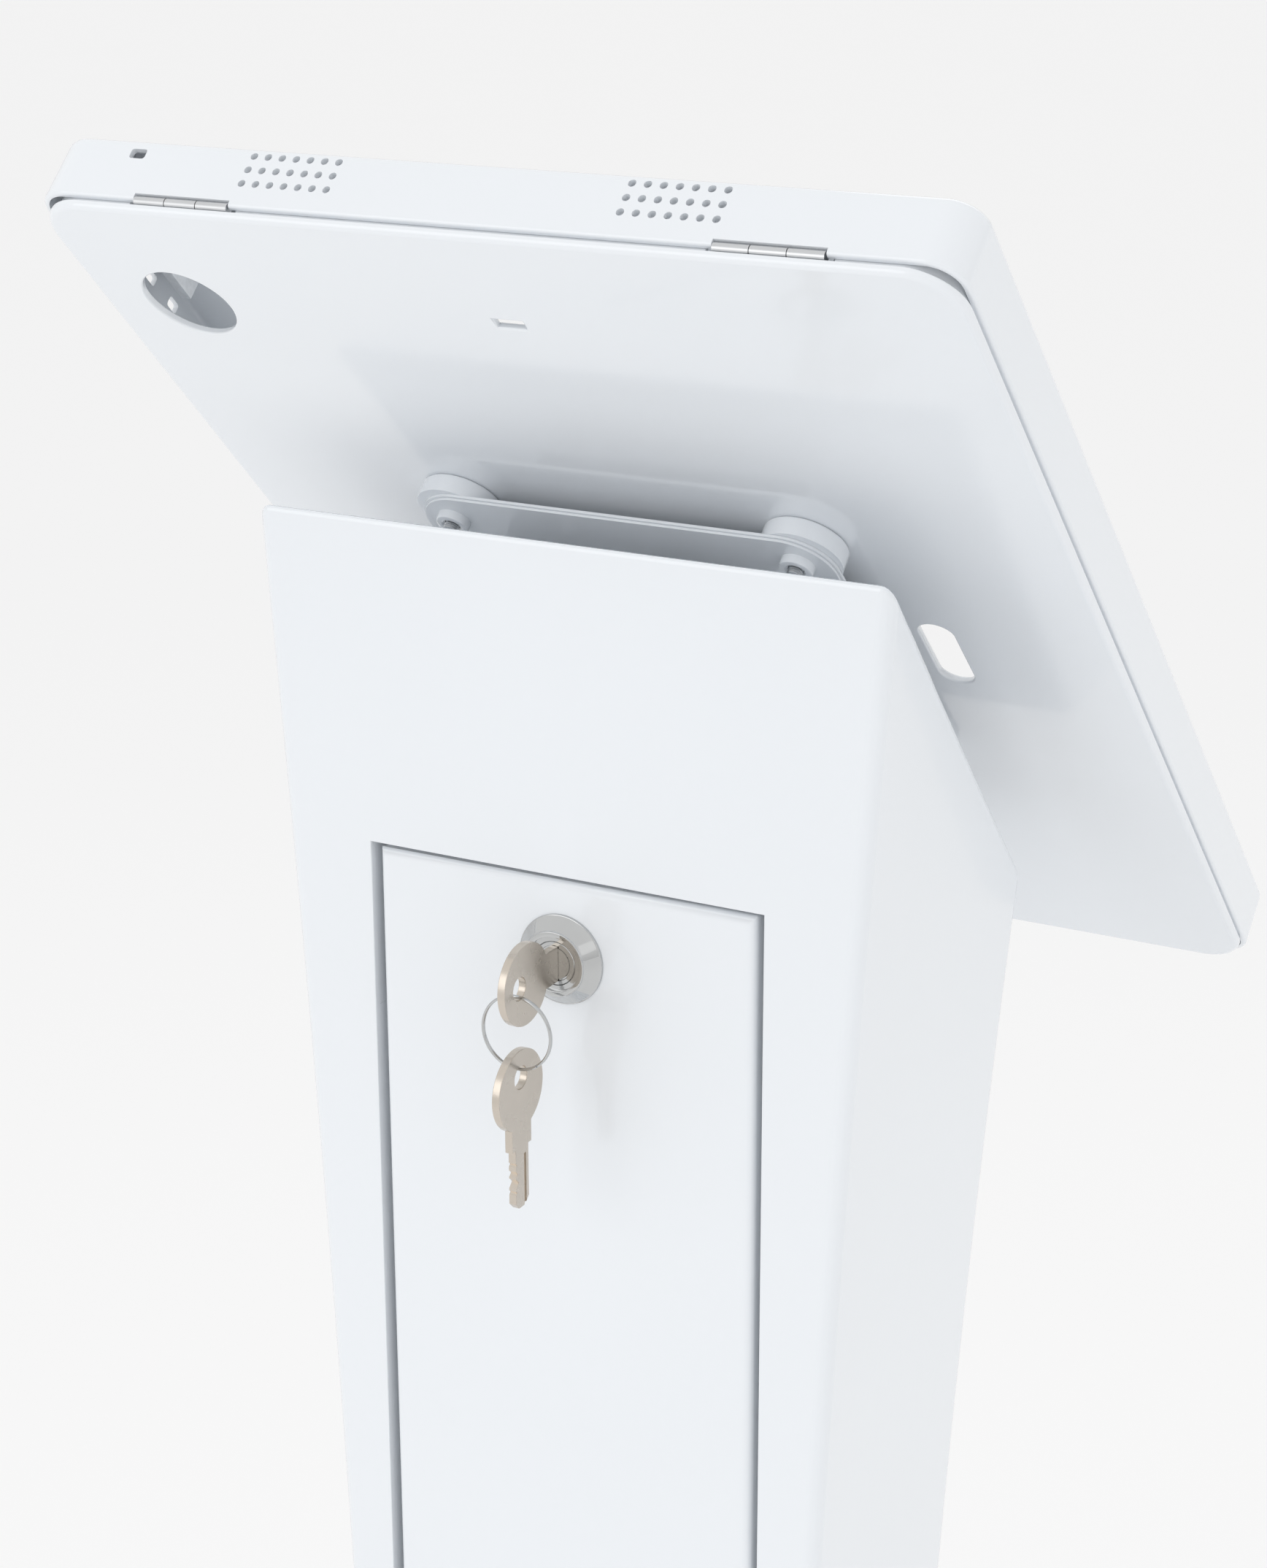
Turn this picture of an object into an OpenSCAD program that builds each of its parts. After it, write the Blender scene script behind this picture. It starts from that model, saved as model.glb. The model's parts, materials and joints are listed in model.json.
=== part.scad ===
// Free-standing tablet kiosk: waisted steel column with a rear service door,
// and a hinged tablet enclosure tilted back on its sloped top.
// +Z up, screen faces -Y, service door faces +Y, origin under the base plate's centre.

/* [Enclosure] */
// Width of the back panel
panel_w = 244; // [225:0.1:300]
// Height of the back panel along its slope
panel_h = 332.8; // [300:0.1:400]
// Thickness of the back panel
panel_t = 2; // [1.5:0.1:3]
// Corner radius of the back panel
panel_corner_r = 13.5; // [6:0.5:25]
// Amount the shell stands proud of the back panel on each side
shell_proud = 0.5; // [0:0.1:1.5]
// Gap between the back panel and the shell's rear edge
shell_gap = 1.2; // [0.8:0.1:2]
// Overall depth of the closed enclosure
enclosure_depth = 21.1; // [19:0.1:30]
// Sheet thickness of the front shell
shell_wall = 1.5; // [1.2:0.1:2]
// Corner radius of the front shell
shell_corner_r = 9; // [6:0.5:20]
// Tilt of the enclosure from horizontal
tilt = 45; // [35:1:55]
// Height of the back panel's centre above the floor
head_height = 1016.5; // [840:0.5:1250]

/* [Tablet] */
// Width of the tablet that the enclosure takes
tablet_w = 214.9; // [200:0.1:216]
// Height of the tablet that the enclosure takes
tablet_h = 280.6; // [250:0.1:290]
// Thickness of the tablet
tablet_t = 6.4; // [5:0.1:8]
// Width of the screen window in the bezel
window_w = 200; // [180:1:204]
// Height of the screen window in the bezel
window_h = 266; // [230:1:270]
// Clearance round the tablet's edges
tablet_clearance = 0.6; // [0.3:0.1:1]

/* [Enclosure openings] */
// Diameter of the rear camera hole
camera_d = 25; // [15:0.5:28]
// Distance of the camera hole's centre from the panel's side edge
camera_from_side = 27.1; // [24:0.1:40]
// Distance of the camera hole's centre from the panel's top edge
camera_from_top = 37.7; // [30:0.1:50]
// Width of the cable slot
cable_slot_w = 9.6; // [6:0.1:14]
// Length of the cable slot
cable_slot_l = 29; // [20:0.5:40]
// Distance of the cable slot from the centreline
cable_slot_x = 73.4; // [68:0.1:80]
// Width of the sensor slot near the panel's top
sensor_slot_w = 8; // [5:0.1:12]
// Height of the sensor slot
sensor_slot_h = 3.4; // [2:0.1:5]
// Distance of the sensor slot from the panel's top edge
sensor_slot_from_top = 33.4; // [28:0.1:40]
// Diameter of one speaker hole
speaker_hole_d = 2; // [1.2:0.1:2.6]
// Pitch of the speaker holes
speaker_pitch = 4; // [3:0.1:5]
// Distance of a speaker grille's centre from the centreline
speaker_x = 51; // [45:0.5:56]
// Length of a button opening
button_l = 4.6; // [3:0.1:8]
// Width of a button opening
button_w = 2.8; // [2:0.1:3.5]
// Distance of the power button's opening from the shell's side
power_from_side = 26.1; // [20:0.1:32]
// Distance of the upper volume opening from the shell's top
volume_from_top = 50.5; // [40:0.5:60]
// Pitch of the two volume openings
volume_pitch = 12; // [8:0.5:16]

/* [Enclosure hinges] */
// Length of a hinge along the top edge
hinge_l = 27; // [20:0.5:34]
// Distance of a hinge's centre from the centreline
hinge_x = 77.8; // [70:0.1:85]
// Diameter of a hinge knuckle
knuckle_d = 2.6; // [2.4:0.1:3.4]
// Diameter of a hinge pin
hinge_pin_d = 1.3; // [1:0.1:1.3]
// Thickness of a hinge leaf
leaf_t = 0.6; // [0.5:0.1:0.7]
// Length of a hinge leaf beyond its knuckle
leaf_l = 9; // [6:0.5:12]

/* [Mounting] */
// Hole pitch of the enclosure mount
vesa_pitch = 100; // [75:25:100]
// Width of the mounting plate
vesa_plate_w = 120; // [110:1:140]
// Corner radius of the mounting plate
vesa_corner_r = 13; // [5:0.5:18]
// Thickness of each of the two stacked mounting sheets
vesa_sheet_t = 0.8; // [0.6:0.1:2]
// Diameter of a spacer
spacer_d = 22.6; // [14:0.1:24]
// Height of a spacer
spacer_h = 5.4; // [3:0.1:10]
// Diameter of a mounting screw
screw_d = 4; // [3.5:0.1:5]
// Diameter of a weld nut's collar
weld_nut_d = 9; // [6.5:0.1:12]
// Height of a weld nut's collar
weld_nut_h = 2.4; // [2:0.1:4]
// Length of screw showing past its weld nut
screw_tip = 1.8; // [0:0.1:3]
// Height of the riser tube between the column and the mounting sheets
riser_h = 17.6; // [12:0.1:30]
// Width of the riser tube
riser_w = 84; // [70:1:90]
// Length of the riser tube along the slope
riser_l = 80; // [60:1:84]
// Wall of the riser tube
riser_wall = 2; // [1.5:0.1:3]
// Diameter of the cable hole in the sloped top
cable_hole_d = 40; // [25:1:45]

/* [Column] */
// Width of the column at its waist
waist_w = 136; // [132:0.5:170]
// Depth of the column at its waist
waist_d = 83.3; // [78:0.1:110]
// Height of the waist above the floor
waist_z = 452; // [350:1:550]
// Radius of the concave sides
side_r = 8000; // [6000:100:12000]
// Radius of the concave front
front_r = 5080; // [4000:20:9000]
// Sheet thickness of the column
column_wall = 2; // [1.5:0.1:3]
// Distance of the column's flat rear face behind the origin
column_rear_y = 73; // [60:0.5:90]

/* [Service door] */
// Width of the door opening
door_opening_w = 115.2; // [90:0.1:120]
// Drop from the column's rear top edge to the opening's top edge
door_top_drop = 88.71; // [70:0.01:120]
// Height of the opening's bottom edge above the floor
door_bottom_z = 106; // [80:1:200]
// Gap at each side of the door
door_side_gap = 2.3; // [1:0.1:4]
// Gap over the door
door_top_gap = 1.2; // [0.8:0.1:3]
// Gap under the door
door_bottom_gap = 3; // [2.6:0.1:5]
// Sheet thickness of the door
door_wall = 1.5; // [1.2:0.1:2.5]
// Depth of the door's folded edges
door_fold = 14; // [10:0.1:18]
// Diameter of a door pivot pin
pivot_d = 6; // [4:0.1:8]

/* [Door lock] */
// Distance of the lock's centre below the opening's top edge
lock_drop = 22.2; // [18:0.1:30]
// Diameter of the lock's bezel against the door
lock_bezel_d = 24.5; // [20:0.1:28]
// Diameter of the bezel's front ring
lock_ring_d = 17.7; // [15:0.1:19]
// Height of the bezel
lock_bezel_h = 4.6; // [3:0.1:7]
// Diameter of the lock's barrel
lock_barrel_d = 14.8; // [13.4:0.1:15.2]
// Length of the barrel behind the door's face
lock_barrel_l = 20; // [18:0.5:26]
// Diameter of the rotating plug
lock_plug_d = 12; // [10:0.1:12.4]
// Depth of the plug's face inside the bezel
plug_recess = 1; // [0.5:0.1:2]
// Reach of the door's cam from the lock's axis
cam_reach = 32; // [28:0.5:38]

/* [Keys] */
// Diameter of a key's bow
bow_d = 21.8; // [18:0.1:24]
// Thickness of a key
key_t = 2.2; // [1.8:0.01:2.8]
// Width of a key's neck
key_neck_w = 9.6; // [7:0.1:10]
// Width of a key's blade
key_blade_w = 6.5; // [5:0.1:7]
// Length of a key's blade past its neck
key_blade_l = 16.6; // [15:0.1:22]
// Diameter of the hole in a bow
bow_hole_d = 6.2; // [5.6:0.1:7]
// Distance of that hole from the bow's centre
bow_hole_out = 3.5; // [3:0.1:4.2]
// Distance of a bow's centre from the neck's shoulder
bow_to_shoulder = 15.8; // [14:0.1:18]
// Radius of the key ring to the middle of its wire
ring_r = 9.8; // [9:0.1:14]
// Thickness of the key ring's wire
ring_wire_d = 1.5; // [1.2:0.1:1.8]

/* [Base] */
// Width of the base plate
base_w = 380; // [320:5:500]
// Depth of the base plate
base_d = 420; // [340:5:520]
// Thickness of the base plate
base_t = 8; // [6:1:12]
// Corner radius of the base plate
base_corner_r = 25; // [10:1:60]
// Thickness of the rubber sheet under the base plate
base_pad_t = 2; // [1:0.5:4]
// Distance of the anchor holes from the plate's edges
anchor_inset = 30; // [22:1:50]
// Diameter of the anchor holes
anchor_d = 11; // [8:0.5:14]

/* [Hidden] */

$fn = 64;
over = 1;                 // overrun of every cutting shape
touch = 0.3;              // gap between pieces on different bodies
run = 0.05;               // radial clearance of a running fit
free = 0.15;              // radial clearance of a screw in its hole
big_fn = 720;             // sides of the very large cutting cylinders

powder_white = "whitesmoke";
zinc = "silver";
nickel = "lightgray";
rubber_black = [0.12, 0.12, 0.13];

// Places in the enclosure's own frame: x across, y up the slope, z out of the screen,
// with z = 0 on the back panel's rear face and x = y = 0 at its centre.
panel_top = panel_h / 2;
shell_w = panel_w + 2 * shell_proud;
shell_h = panel_h + 2 * shell_proud;
shell_rear_z = panel_t + shell_gap;
shell_depth = enclosure_depth - shell_rear_z;
bezel_inner_z = enclosure_depth - shell_wall;
tablet_back_z = bezel_inner_z - tablet_t;
tablet_mid_z = bezel_inner_z - tablet_t / 2;
hinge_y = shell_h / 2 - knuckle_d / 2;
knuckle_lift = 0.1;         // gap between the panel and a knuckle on the shell
hinge_z = panel_t + knuckle_d / 2 + knuckle_lift;
vesa_rear_z = -spacer_h - 2 * vesa_sheet_t;
slope_z = vesa_rear_z - riser_h;
screw_end_z = vesa_rear_z - weld_nut_h - screw_tip;

// Places in the column
column_top_z = head_height + column_rear_y * tan(tilt) + slope_z / cos(tilt);
door_top_z = column_top_z - door_top_drop;
door_w = door_opening_w - 2 * door_side_gap;
door_low_z = door_bottom_z + door_bottom_gap;
door_high_z = door_top_z - door_top_gap;
pivot_y = column_rear_y - door_fold / 2;
pivot_z = door_low_z + door_fold / 2;
column_low_z = base_pad_t + base_t;
lock_z = door_top_z - lock_drop;
barrel_end_y = column_rear_y - lock_barrel_l;
cam_t = 2;
plug_face_y = column_rear_y + lock_bezel_h - plug_recess;
bow_y = plug_face_y + bow_to_shoulder;
ring_y = bow_y + bow_hole_out;
ring_z = lock_z - bow_hole_d / 2 + ring_wire_d / 2 - ring_r + 0.1;
spare_hole_z = ring_z - ring_r + ring_wire_d / 2 - bow_hole_d / 2 + 0.1;

// ---------- general shapes ----------

module rounded_rect(w, h, r) {
    square([w - 2 * r, h], center = true);
    square([w, h - 2 * r], center = true);
    for (sx = [-1, 1], sy = [-1, 1])
        translate([sx * (w / 2 - r), sy * (h / 2 - r)]) circle(r);
}

module rounded_plate(w, h, r, t) {
    linear_extrude(t) rounded_rect(w, h, r);
}

// An obround of overall length l along x and width w
module obround(l, w) {
    square([l - w, w], center = true);
    for (s = [-1, 1]) translate([s * (l - w) / 2, 0]) circle(w / 2);
}

// Cylinder along +Y from y = 0
module along_y(d, l) {
    rotate([-90, 0, 0]) cylinder(d = d, h = l);
}

// Cylinder along +X from x = 0
module along_x(d, l) {
    rotate([0, 90, 0]) cylinder(d = d, h = l);
}

// Puts its children in the enclosure's frame
module in_enclosure() {
    translate([0, 0, head_height]) rotate([tilt, 0, 0]) children();
}

module at_vesa_holes() {
    for (sx = [-1, 1], sy = [-1, 1])
        translate([sx * vesa_pitch / 2, sy * vesa_pitch / 2, 0]) children();
}

// ---------- base ----------

module at_anchor_holes() {
    for (sx = [-1, 1], sy = [-1, 1])
        translate([sx * (base_w / 2 - anchor_inset), sy * (base_d / 2 - anchor_inset), 0]) children();
}

foot_inset = 10;            // flange's edge inside the column's waist
foot_w = waist_w - 2 * foot_inset;
foot_d = waist_d - 2 * foot_inset;
foot_t = 5;
foot_y = column_rear_y - waist_d / 2 - 2;
base_screw_d = 8;
base_head_d = 15;
base_head_h = 4;
base_screw_inset = 13;
pad_inset = 2;
pad_hole_gap = 3;

module at_base_screws() {
    for (sx = [-1, 1], sy = [-1, 1])
        translate([sx * (foot_w / 2 - base_screw_inset), foot_y + sy * (foot_d / 2 - base_screw_inset), 0])
            children();
}

module base_pad() {
    color(rubber_black) difference() {
        rounded_plate(base_w - 2 * pad_inset, base_d - 2 * pad_inset, base_corner_r - pad_inset, base_pad_t);
        at_anchor_holes() translate([0, 0, -over])
            cylinder(d = anchor_d + 2 * pad_hole_gap, h = base_pad_t + 2 * over);
    }
}

module base_plate() {
    color(powder_white) difference() {
        translate([0, 0, base_pad_t]) rounded_plate(base_w, base_d, base_corner_r, base_t);
        at_anchor_holes() translate([0, 0, base_pad_t - over]) cylinder(d = anchor_d, h = base_t + 2 * over);
        at_base_screws() {
            translate([0, 0, base_pad_t - over])
                cylinder(d = base_screw_d + 2 * free, h = base_t + 2 * over);
            translate([0, 0, base_pad_t - over]) cylinder(d = base_head_d + 2 * free, h = base_head_h + over);
        }
    }
}

// Welded plate and skirt inside the column's foot
module foot_flange() {
    color(zinc) difference() {
        translate([-foot_w / 2, foot_y - foot_d / 2, column_low_z]) cube([foot_w, foot_d, foot_t]);
        at_base_screws() translate([0, 0, column_low_z - over])
            cylinder(d = base_screw_d + 2 * run, h = foot_t + 2 * over);
        translate([0, foot_y, column_low_z - over]) cylinder(d = foot_d / 2, h = foot_t + 2 * over);
    }
    color(zinc) for (s = [-1, 1]) foot_lug(s);
}

// Angle that joins the flange to the column's side wall
module foot_lug(s) {
    lug_x = column_half_w(column_low_z + foot_t) - column_wall;
    reach = lug_x - foot_w / 2;
    translate([s > 0 ? foot_w / 2 : -foot_w / 2 - reach + 1, foot_y - foot_d / 4, column_low_z])
        cube([reach - 1, foot_d / 2, foot_t]);
}

function column_half_w(z) = waist_w / 2 + side_r - sqrt(pow(side_r, 2) - pow(z - waist_z, 2));

module base_screws() {
    color(zinc) at_base_screws() {
        translate([0, 0, base_pad_t]) cylinder(d = base_head_d, h = base_head_h);
        translate([0, 0, base_pad_t + base_head_h - 0.01])
            cylinder(d = base_screw_d, h = base_t - base_head_h + foot_t + 3);
    }
}

// ---------- column ----------

// The column's outer form, moved inwards by inset on every face but its foot
module column_form(inset, low_z) {
    block_w = 2 * waist_w;
    block_d = 2 * waist_d;
    difference() {
        translate([-block_w / 2, column_rear_y - inset - block_d, low_z])
            cube([block_w, block_d, head_height + panel_h - low_z]);
        for (s = [-1, 1])
            translate([s * (waist_w / 2 + side_r), column_rear_y + over, waist_z])
                rotate([90, 0, 0]) cylinder(r = side_r + inset, h = block_d + 4 * over, $fn = big_fn);
        translate([-block_w / 2 - over, column_rear_y - waist_d - front_r, waist_z])
            rotate([0, 90, 0]) cylinder(r = front_r + inset, h = block_w + 2 * over, $fn = big_fn);
        in_enclosure() translate([-block_w, -panel_h * 2, slope_z - inset])
            cube([2 * block_w, panel_h * 4, panel_h * 2]);
    }
}

riser_bolt_d = 6;
riser_bolt_inset = 12;
riser_head_d = 10;
riser_head_h = 3.6;

module at_riser_bolts() {
    for (sx = [-1, 1], sy = [-1, 1])
        translate([sx * (riser_w / 2 - riser_bolt_inset), sy * (riser_l / 2 - riser_bolt_inset), 0])
            children();
}

module column_shell() {
    color(powder_white) difference() {
        column_form(0, column_low_z);
        column_form(column_wall, column_low_z - over);
        translate([-door_opening_w / 2, column_rear_y - column_wall - over, door_bottom_z])
            cube([door_opening_w, column_wall + 2 * over, door_top_z - door_bottom_z]);
        in_enclosure() translate([0, 0, slope_z - column_wall - over]) {
            cylinder(d = cable_hole_d, h = column_wall + 2 * over);
            at_riser_bolts() cylinder(d = riser_bolt_d + 2 * free, h = column_wall + 2 * over);
        }
    }
}

stop_t = 1.5;
stop_lap = 7;
stop_face_y = column_rear_y - door_fold - touch;
stop_low_z = pivot_z + door_fold + 4;
stop_high_z = lock_z - lock_bezel_d;

// Angle behind a door edge, on the side s
module door_stop(s) {
    outer_x = door_opening_w / 2 + stop_t;
    color(powder_white) mirror([s < 0 ? 1 : 0, 0, 0]) {
        translate([outer_x - stop_t, stop_face_y - stop_t, stop_low_z])
            cube([stop_t, column_rear_y - column_wall - stop_face_y + stop_t, stop_high_z - stop_low_z]);
        translate([outer_x - stop_t - stop_lap, stop_face_y - stop_t, stop_low_z])
            cube([stop_lap + stop_t, stop_t, stop_high_z - stop_low_z]);
    }
}

module door_stop_left() { door_stop(1); }
module door_stop_right() { door_stop(-1); }

catch_w = 30;
catch_leg_z = door_top_z + column_wall;
catch_shelf_z = lock_z + cam_reach + 6;

// Angle inside the column that the turned cam passes behind
module lock_catch() {
    color(zinc) {
        translate([-catch_w / 2, barrel_end_y, catch_leg_z])
            cube([catch_w, 2, catch_shelf_z - catch_leg_z]);
        translate([-catch_w / 2, barrel_end_y, catch_shelf_z])
            cube([catch_w, column_rear_y - column_wall - barrel_end_y, 2]);
    }
}

pivot_ear_x = door_opening_w / 2 + 1;
pivot_ear_t = 3;
pivot_ear_w = 2 * (column_rear_y - column_wall - pivot_y);

// Ear welded behind the column's rear sheet, on the side s
module pivot_bracket(s) {
    color(powder_white) difference() {
        translate([s > 0 ? pivot_ear_x : -pivot_ear_x - pivot_ear_t, pivot_y - pivot_ear_w / 2,
            pivot_z - 8]) cube([pivot_ear_t, pivot_ear_w, 16]);
        translate([s * pivot_ear_x - over * 5, pivot_y, pivot_z])
            along_x(pivot_d + 2 * run, over * 10);
    }
}

module pivot_bracket_left() { pivot_bracket(1); }
module pivot_bracket_right() { pivot_bracket(-1); }

// ---------- head mount ----------

module mount_riser() {
    color(powder_white) in_enclosure() difference() {
        translate([-riser_w / 2, -riser_l / 2, slope_z]) cube([riser_w, riser_l, riser_h]);
        translate([-riser_w / 2 + riser_wall, -riser_l / 2 - over, slope_z + riser_wall])
            cube([riser_w - 2 * riser_wall, riser_l + 2 * over, riser_h - 2 * riser_wall]);
        translate([0, 0, slope_z - over]) cylinder(d = cable_hole_d, h = riser_h + 2 * over);
        translate([0, 0, slope_z - over]) at_riser_bolts()
            cylinder(d = riser_bolt_d + 2 * run, h = riser_wall + 2 * over);
    }
}

module riser_bolts() {
    color(zinc) in_enclosure() at_riser_bolts() {
        translate([0, 0, slope_z - column_wall - riser_head_h])
            cylinder(d = riser_head_d, h = riser_head_h);
        translate([0, 0, slope_z - column_wall - 0.01])
            cylinder(d = riser_bolt_d, h = column_wall + riser_wall + 5);
    }
}

// One of the two stacked mounting sheets, rear face at z
module mounting_sheet(z, w) {
    color(powder_white) in_enclosure() difference() {
        translate([0, 0, z]) rounded_plate(w, w, vesa_corner_r, vesa_sheet_t);
        translate([0, 0, z - over]) {
            at_vesa_holes() cylinder(d = screw_d + 2 * free, h = vesa_sheet_t + 2 * over);
            cylinder(d = cable_hole_d, h = vesa_sheet_t + 2 * over);
        }
    }
}

module hub_plate() { mounting_sheet(vesa_rear_z, vesa_plate_w - 1); }
module vesa_plate() { mounting_sheet(vesa_rear_z + vesa_sheet_t, vesa_plate_w); }

module spacer(sx, sy) {
    color(powder_white) in_enclosure()
        translate([sx * vesa_pitch / 2, sy * vesa_pitch / 2, -spacer_h]) difference() {
            cylinder(d = spacer_d, h = spacer_h);
            translate([0, 0, -over]) cylinder(d = screw_d + 2 * free, h = spacer_h + 2 * over);
        }
}

module spacer_1() { spacer(1, 1); }
module spacer_2() { spacer(-1, 1); }
module spacer_3() { spacer(-1, -1); }
module spacer_4() { spacer(1, -1); }

module weld_nuts() {
    color(powder_white) in_enclosure() at_vesa_holes() difference() {
        translate([0, 0, vesa_rear_z - weld_nut_h]) cylinder(d = weld_nut_d, h = weld_nut_h);
        translate([0, 0, vesa_rear_z - weld_nut_h - over])
            cylinder(d = screw_d + 2 * run, h = weld_nut_h + 2 * over);
    }
}

screw_head_d = 8;
screw_head_h = 2.6;

module mount_screws() {
    color(zinc) in_enclosure() at_vesa_holes() {
        translate([0, 0, screw_end_z]) cylinder(d = screw_d, h = panel_t - screw_end_z + 0.01);
        translate([0, 0, panel_t]) cylinder(d = screw_head_d, h = screw_head_h);
    }
}

// ---------- enclosure, fixed half ----------

module back_panel() {
    color(powder_white) in_enclosure() difference() {
        rounded_plate(panel_w, panel_h, panel_corner_r, panel_t);
        translate([panel_w / 2 - camera_from_side, panel_top - camera_from_top, -over])
            cylinder(d = camera_d, h = panel_t + 2 * over);
        translate([0, panel_top - sensor_slot_from_top, panel_t / 2])
            cube([sensor_slot_w, sensor_slot_h, panel_t + 2 * over], center = true);
        translate([-cable_slot_x, 0, -over]) linear_extrude(panel_t + 2 * over)
            rotate(90) obround(cable_slot_l, cable_slot_w);
        translate([0, 0, -over]) at_vesa_holes()
            cylinder(d = screw_d + 2 * free, h = panel_t + 2 * over);
    }
}

foam_w = 12;
foam_l = 160;
foam_x = tablet_w / 2 - foam_w / 2 - 3.5;
foam_y = -20;

module foam_strip(s) {
    color(rubber_black) in_enclosure()
        translate([s * foam_x - foam_w / 2, foam_y - foam_l / 2, panel_t])
            cube([foam_w, foam_l, tablet_back_z - panel_t - touch]);
}

module foam_strip_left() { foam_strip(1); }
module foam_strip_right() { foam_strip(-1); }

// ---------- enclosure hinges ----------

knuckle_gap = 0.15;
knuckle_l = hinge_l / 3;

module at_hinge(s) {
    in_enclosure() translate([s * hinge_x, hinge_y, hinge_z]) children();
}

// Barrel piece from x = a to x = b, bored for the pin
module knuckle(a, b) {
    difference() {
        translate([a, 0, 0]) along_x(knuckle_d, b - a);
        translate([a - over, 0, 0]) along_x(hinge_pin_d + 2 * run, b - a + 2 * over);
    }
}

// Leaf on the back panel, with the two outer knuckles
module fixed_leaf(s) {
    leaf_z = panel_t - hinge_z;
    edge_y = -knuckle_d / 2 - touch;
    color(zinc) at_hinge(s) {
        for (k = [-1, 1]) {
            low_x = k < 0 ? -hinge_l / 2 : knuckle_l / 2 + knuckle_gap;
            knuckle(low_x, low_x + knuckle_l - knuckle_gap);
            difference() {
                translate([low_x, edge_y - 0.5, leaf_z])
                    cube([knuckle_l - knuckle_gap, -edge_y + 0.5, leaf_t]);
                translate([low_x - over, 0, 0]) along_x(hinge_pin_d + 2 * run, knuckle_l + 2 * over);
            }
        }
        translate([-hinge_l / 2, edge_y - leaf_l, leaf_z]) cube([hinge_l, leaf_l, leaf_t]);
    }
}

// Leaf on the shell's top wall, with the middle knuckle
module moving_leaf(s) {
    wall_y = shell_h / 2 - shell_wall - hinge_y;
    start_z = knuckle_d / 2 + touch;
    color(zinc) at_hinge(s) {
        knuckle(-knuckle_l / 2 + knuckle_gap / 2, knuckle_l / 2 - knuckle_gap / 2);
        difference() {
            translate([-knuckle_l / 2 + knuckle_gap / 2, wall_y - leaf_t, 0])
                cube([knuckle_l - knuckle_gap, leaf_t, start_z + 0.5]);
            translate([-knuckle_l, 0, 0]) along_x(hinge_pin_d + 2 * run, 2 * knuckle_l);
        }
        translate([-hinge_l / 2, wall_y - leaf_t, start_z]) cube([hinge_l, leaf_t, leaf_l]);
    }
}

module hinge_pin(s) {
    color(zinc) at_hinge(s) translate([-hinge_l / 2, 0, 0]) along_x(hinge_pin_d, hinge_l);
}

module hinge_left_fixed_leaf() { fixed_leaf(1); }
module hinge_right_fixed_leaf() { fixed_leaf(-1); }
module hinge_left_moving_leaf() { moving_leaf(1); }
module hinge_right_moving_leaf() { moving_leaf(-1); }
module hinge_left_pin() { hinge_pin(1); }
module hinge_right_pin() { hinge_pin(-1); }

// ---------- enclosure, hinged half ----------

module speaker_grille(x) {
    for (row = [-1 : 1], column = [-3 : 3])
        translate([x + column * speaker_pitch, 0, tablet_mid_z - 2.4 + row * speaker_pitch])
            rotate([90, 0, 0]) cylinder(d = speaker_hole_d, h = shell_h + 2 * over, center = true, $fn = 24);
}

button_corner_r = 0.8;
window_corner_r = 6;
notch_deep = 3;             // reach of a hinge notch to each side of the hinge's axis
notch_gap = 0.15;           // gap over a hinge knuckle
volume_z = tablet_mid_z - 1.4;

module button_cutter() {
    linear_extrude(4 * shell_wall, center = true) rounded_rect(button_l, button_w, button_corner_r);
}

module front_shell() {
    inner_w = shell_w - 2 * shell_wall;
    inner_h = shell_h - 2 * shell_wall;
    color(powder_white) in_enclosure() difference() {
        translate([0, 0, shell_rear_z]) rounded_plate(shell_w, shell_h, shell_corner_r, shell_depth);
        translate([0, 0, shell_rear_z - over])
            rounded_plate(inner_w, inner_h, shell_corner_r - shell_wall, bezel_inner_z - shell_rear_z + over);
        translate([0, 0, bezel_inner_z - over])
            rounded_plate(window_w, window_h, window_corner_r, shell_wall + 2 * over);
        for (s = [-1, 1]) speaker_grille(s * speaker_x);
        translate([shell_w / 2 - power_from_side, shell_h / 2, tablet_mid_z]) rotate([90, 0, 0])
            button_cutter();
        for (i = [0, 1])
            translate([shell_w / 2, shell_h / 2 - volume_from_top - i * volume_pitch, volume_z])
                rotate([90, 0, 90]) button_cutter();
        for (s = [-1, 1])
            translate([s * hinge_x - hinge_l / 2 - touch, hinge_y - notch_deep, shell_rear_z - over])
                cube([hinge_l + 2 * touch, 2 * notch_deep,
                    hinge_z - shell_rear_z + knuckle_d / 2 + notch_gap + over]);
        translate([0, -shell_h / 2 - over, shell_lock_z])
            along_y(shell_barrel_d + 2 * run, shell_wall + 2 * over);
    }
}

bracket_leg = 30;
bracket_t = 3;
bracket_h = tablet_t + 2;

// L-shaped locator for one tablet corner, seated on the bezel's inner face
module corner_bracket(sx, sy) {
    inner_x = tablet_w / 2 + tablet_clearance;
    inner_y = tablet_h / 2 + tablet_clearance;
    color(rubber_black) in_enclosure() mirror([sx < 0 ? 1 : 0, 0, 0]) mirror([0, sy < 0 ? 1 : 0, 0]) {
        translate([inner_x, inner_y + bracket_t - bracket_leg, bezel_inner_z - bracket_h])
            cube([bracket_t, bracket_leg, bracket_h]);
        translate([inner_x + bracket_t - bracket_leg, inner_y, bezel_inner_z - bracket_h])
            cube([bracket_leg, bracket_t, bracket_h]);
    }
}

module corner_bracket_1() { corner_bracket(1, 1); }
module corner_bracket_2() { corner_bracket(-1, 1); }
module corner_bracket_3() { corner_bracket(-1, -1); }
module corner_bracket_4() { corner_bracket(1, -1); }

// ---------- enclosure lock, in the shell's bottom wall ----------

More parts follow.
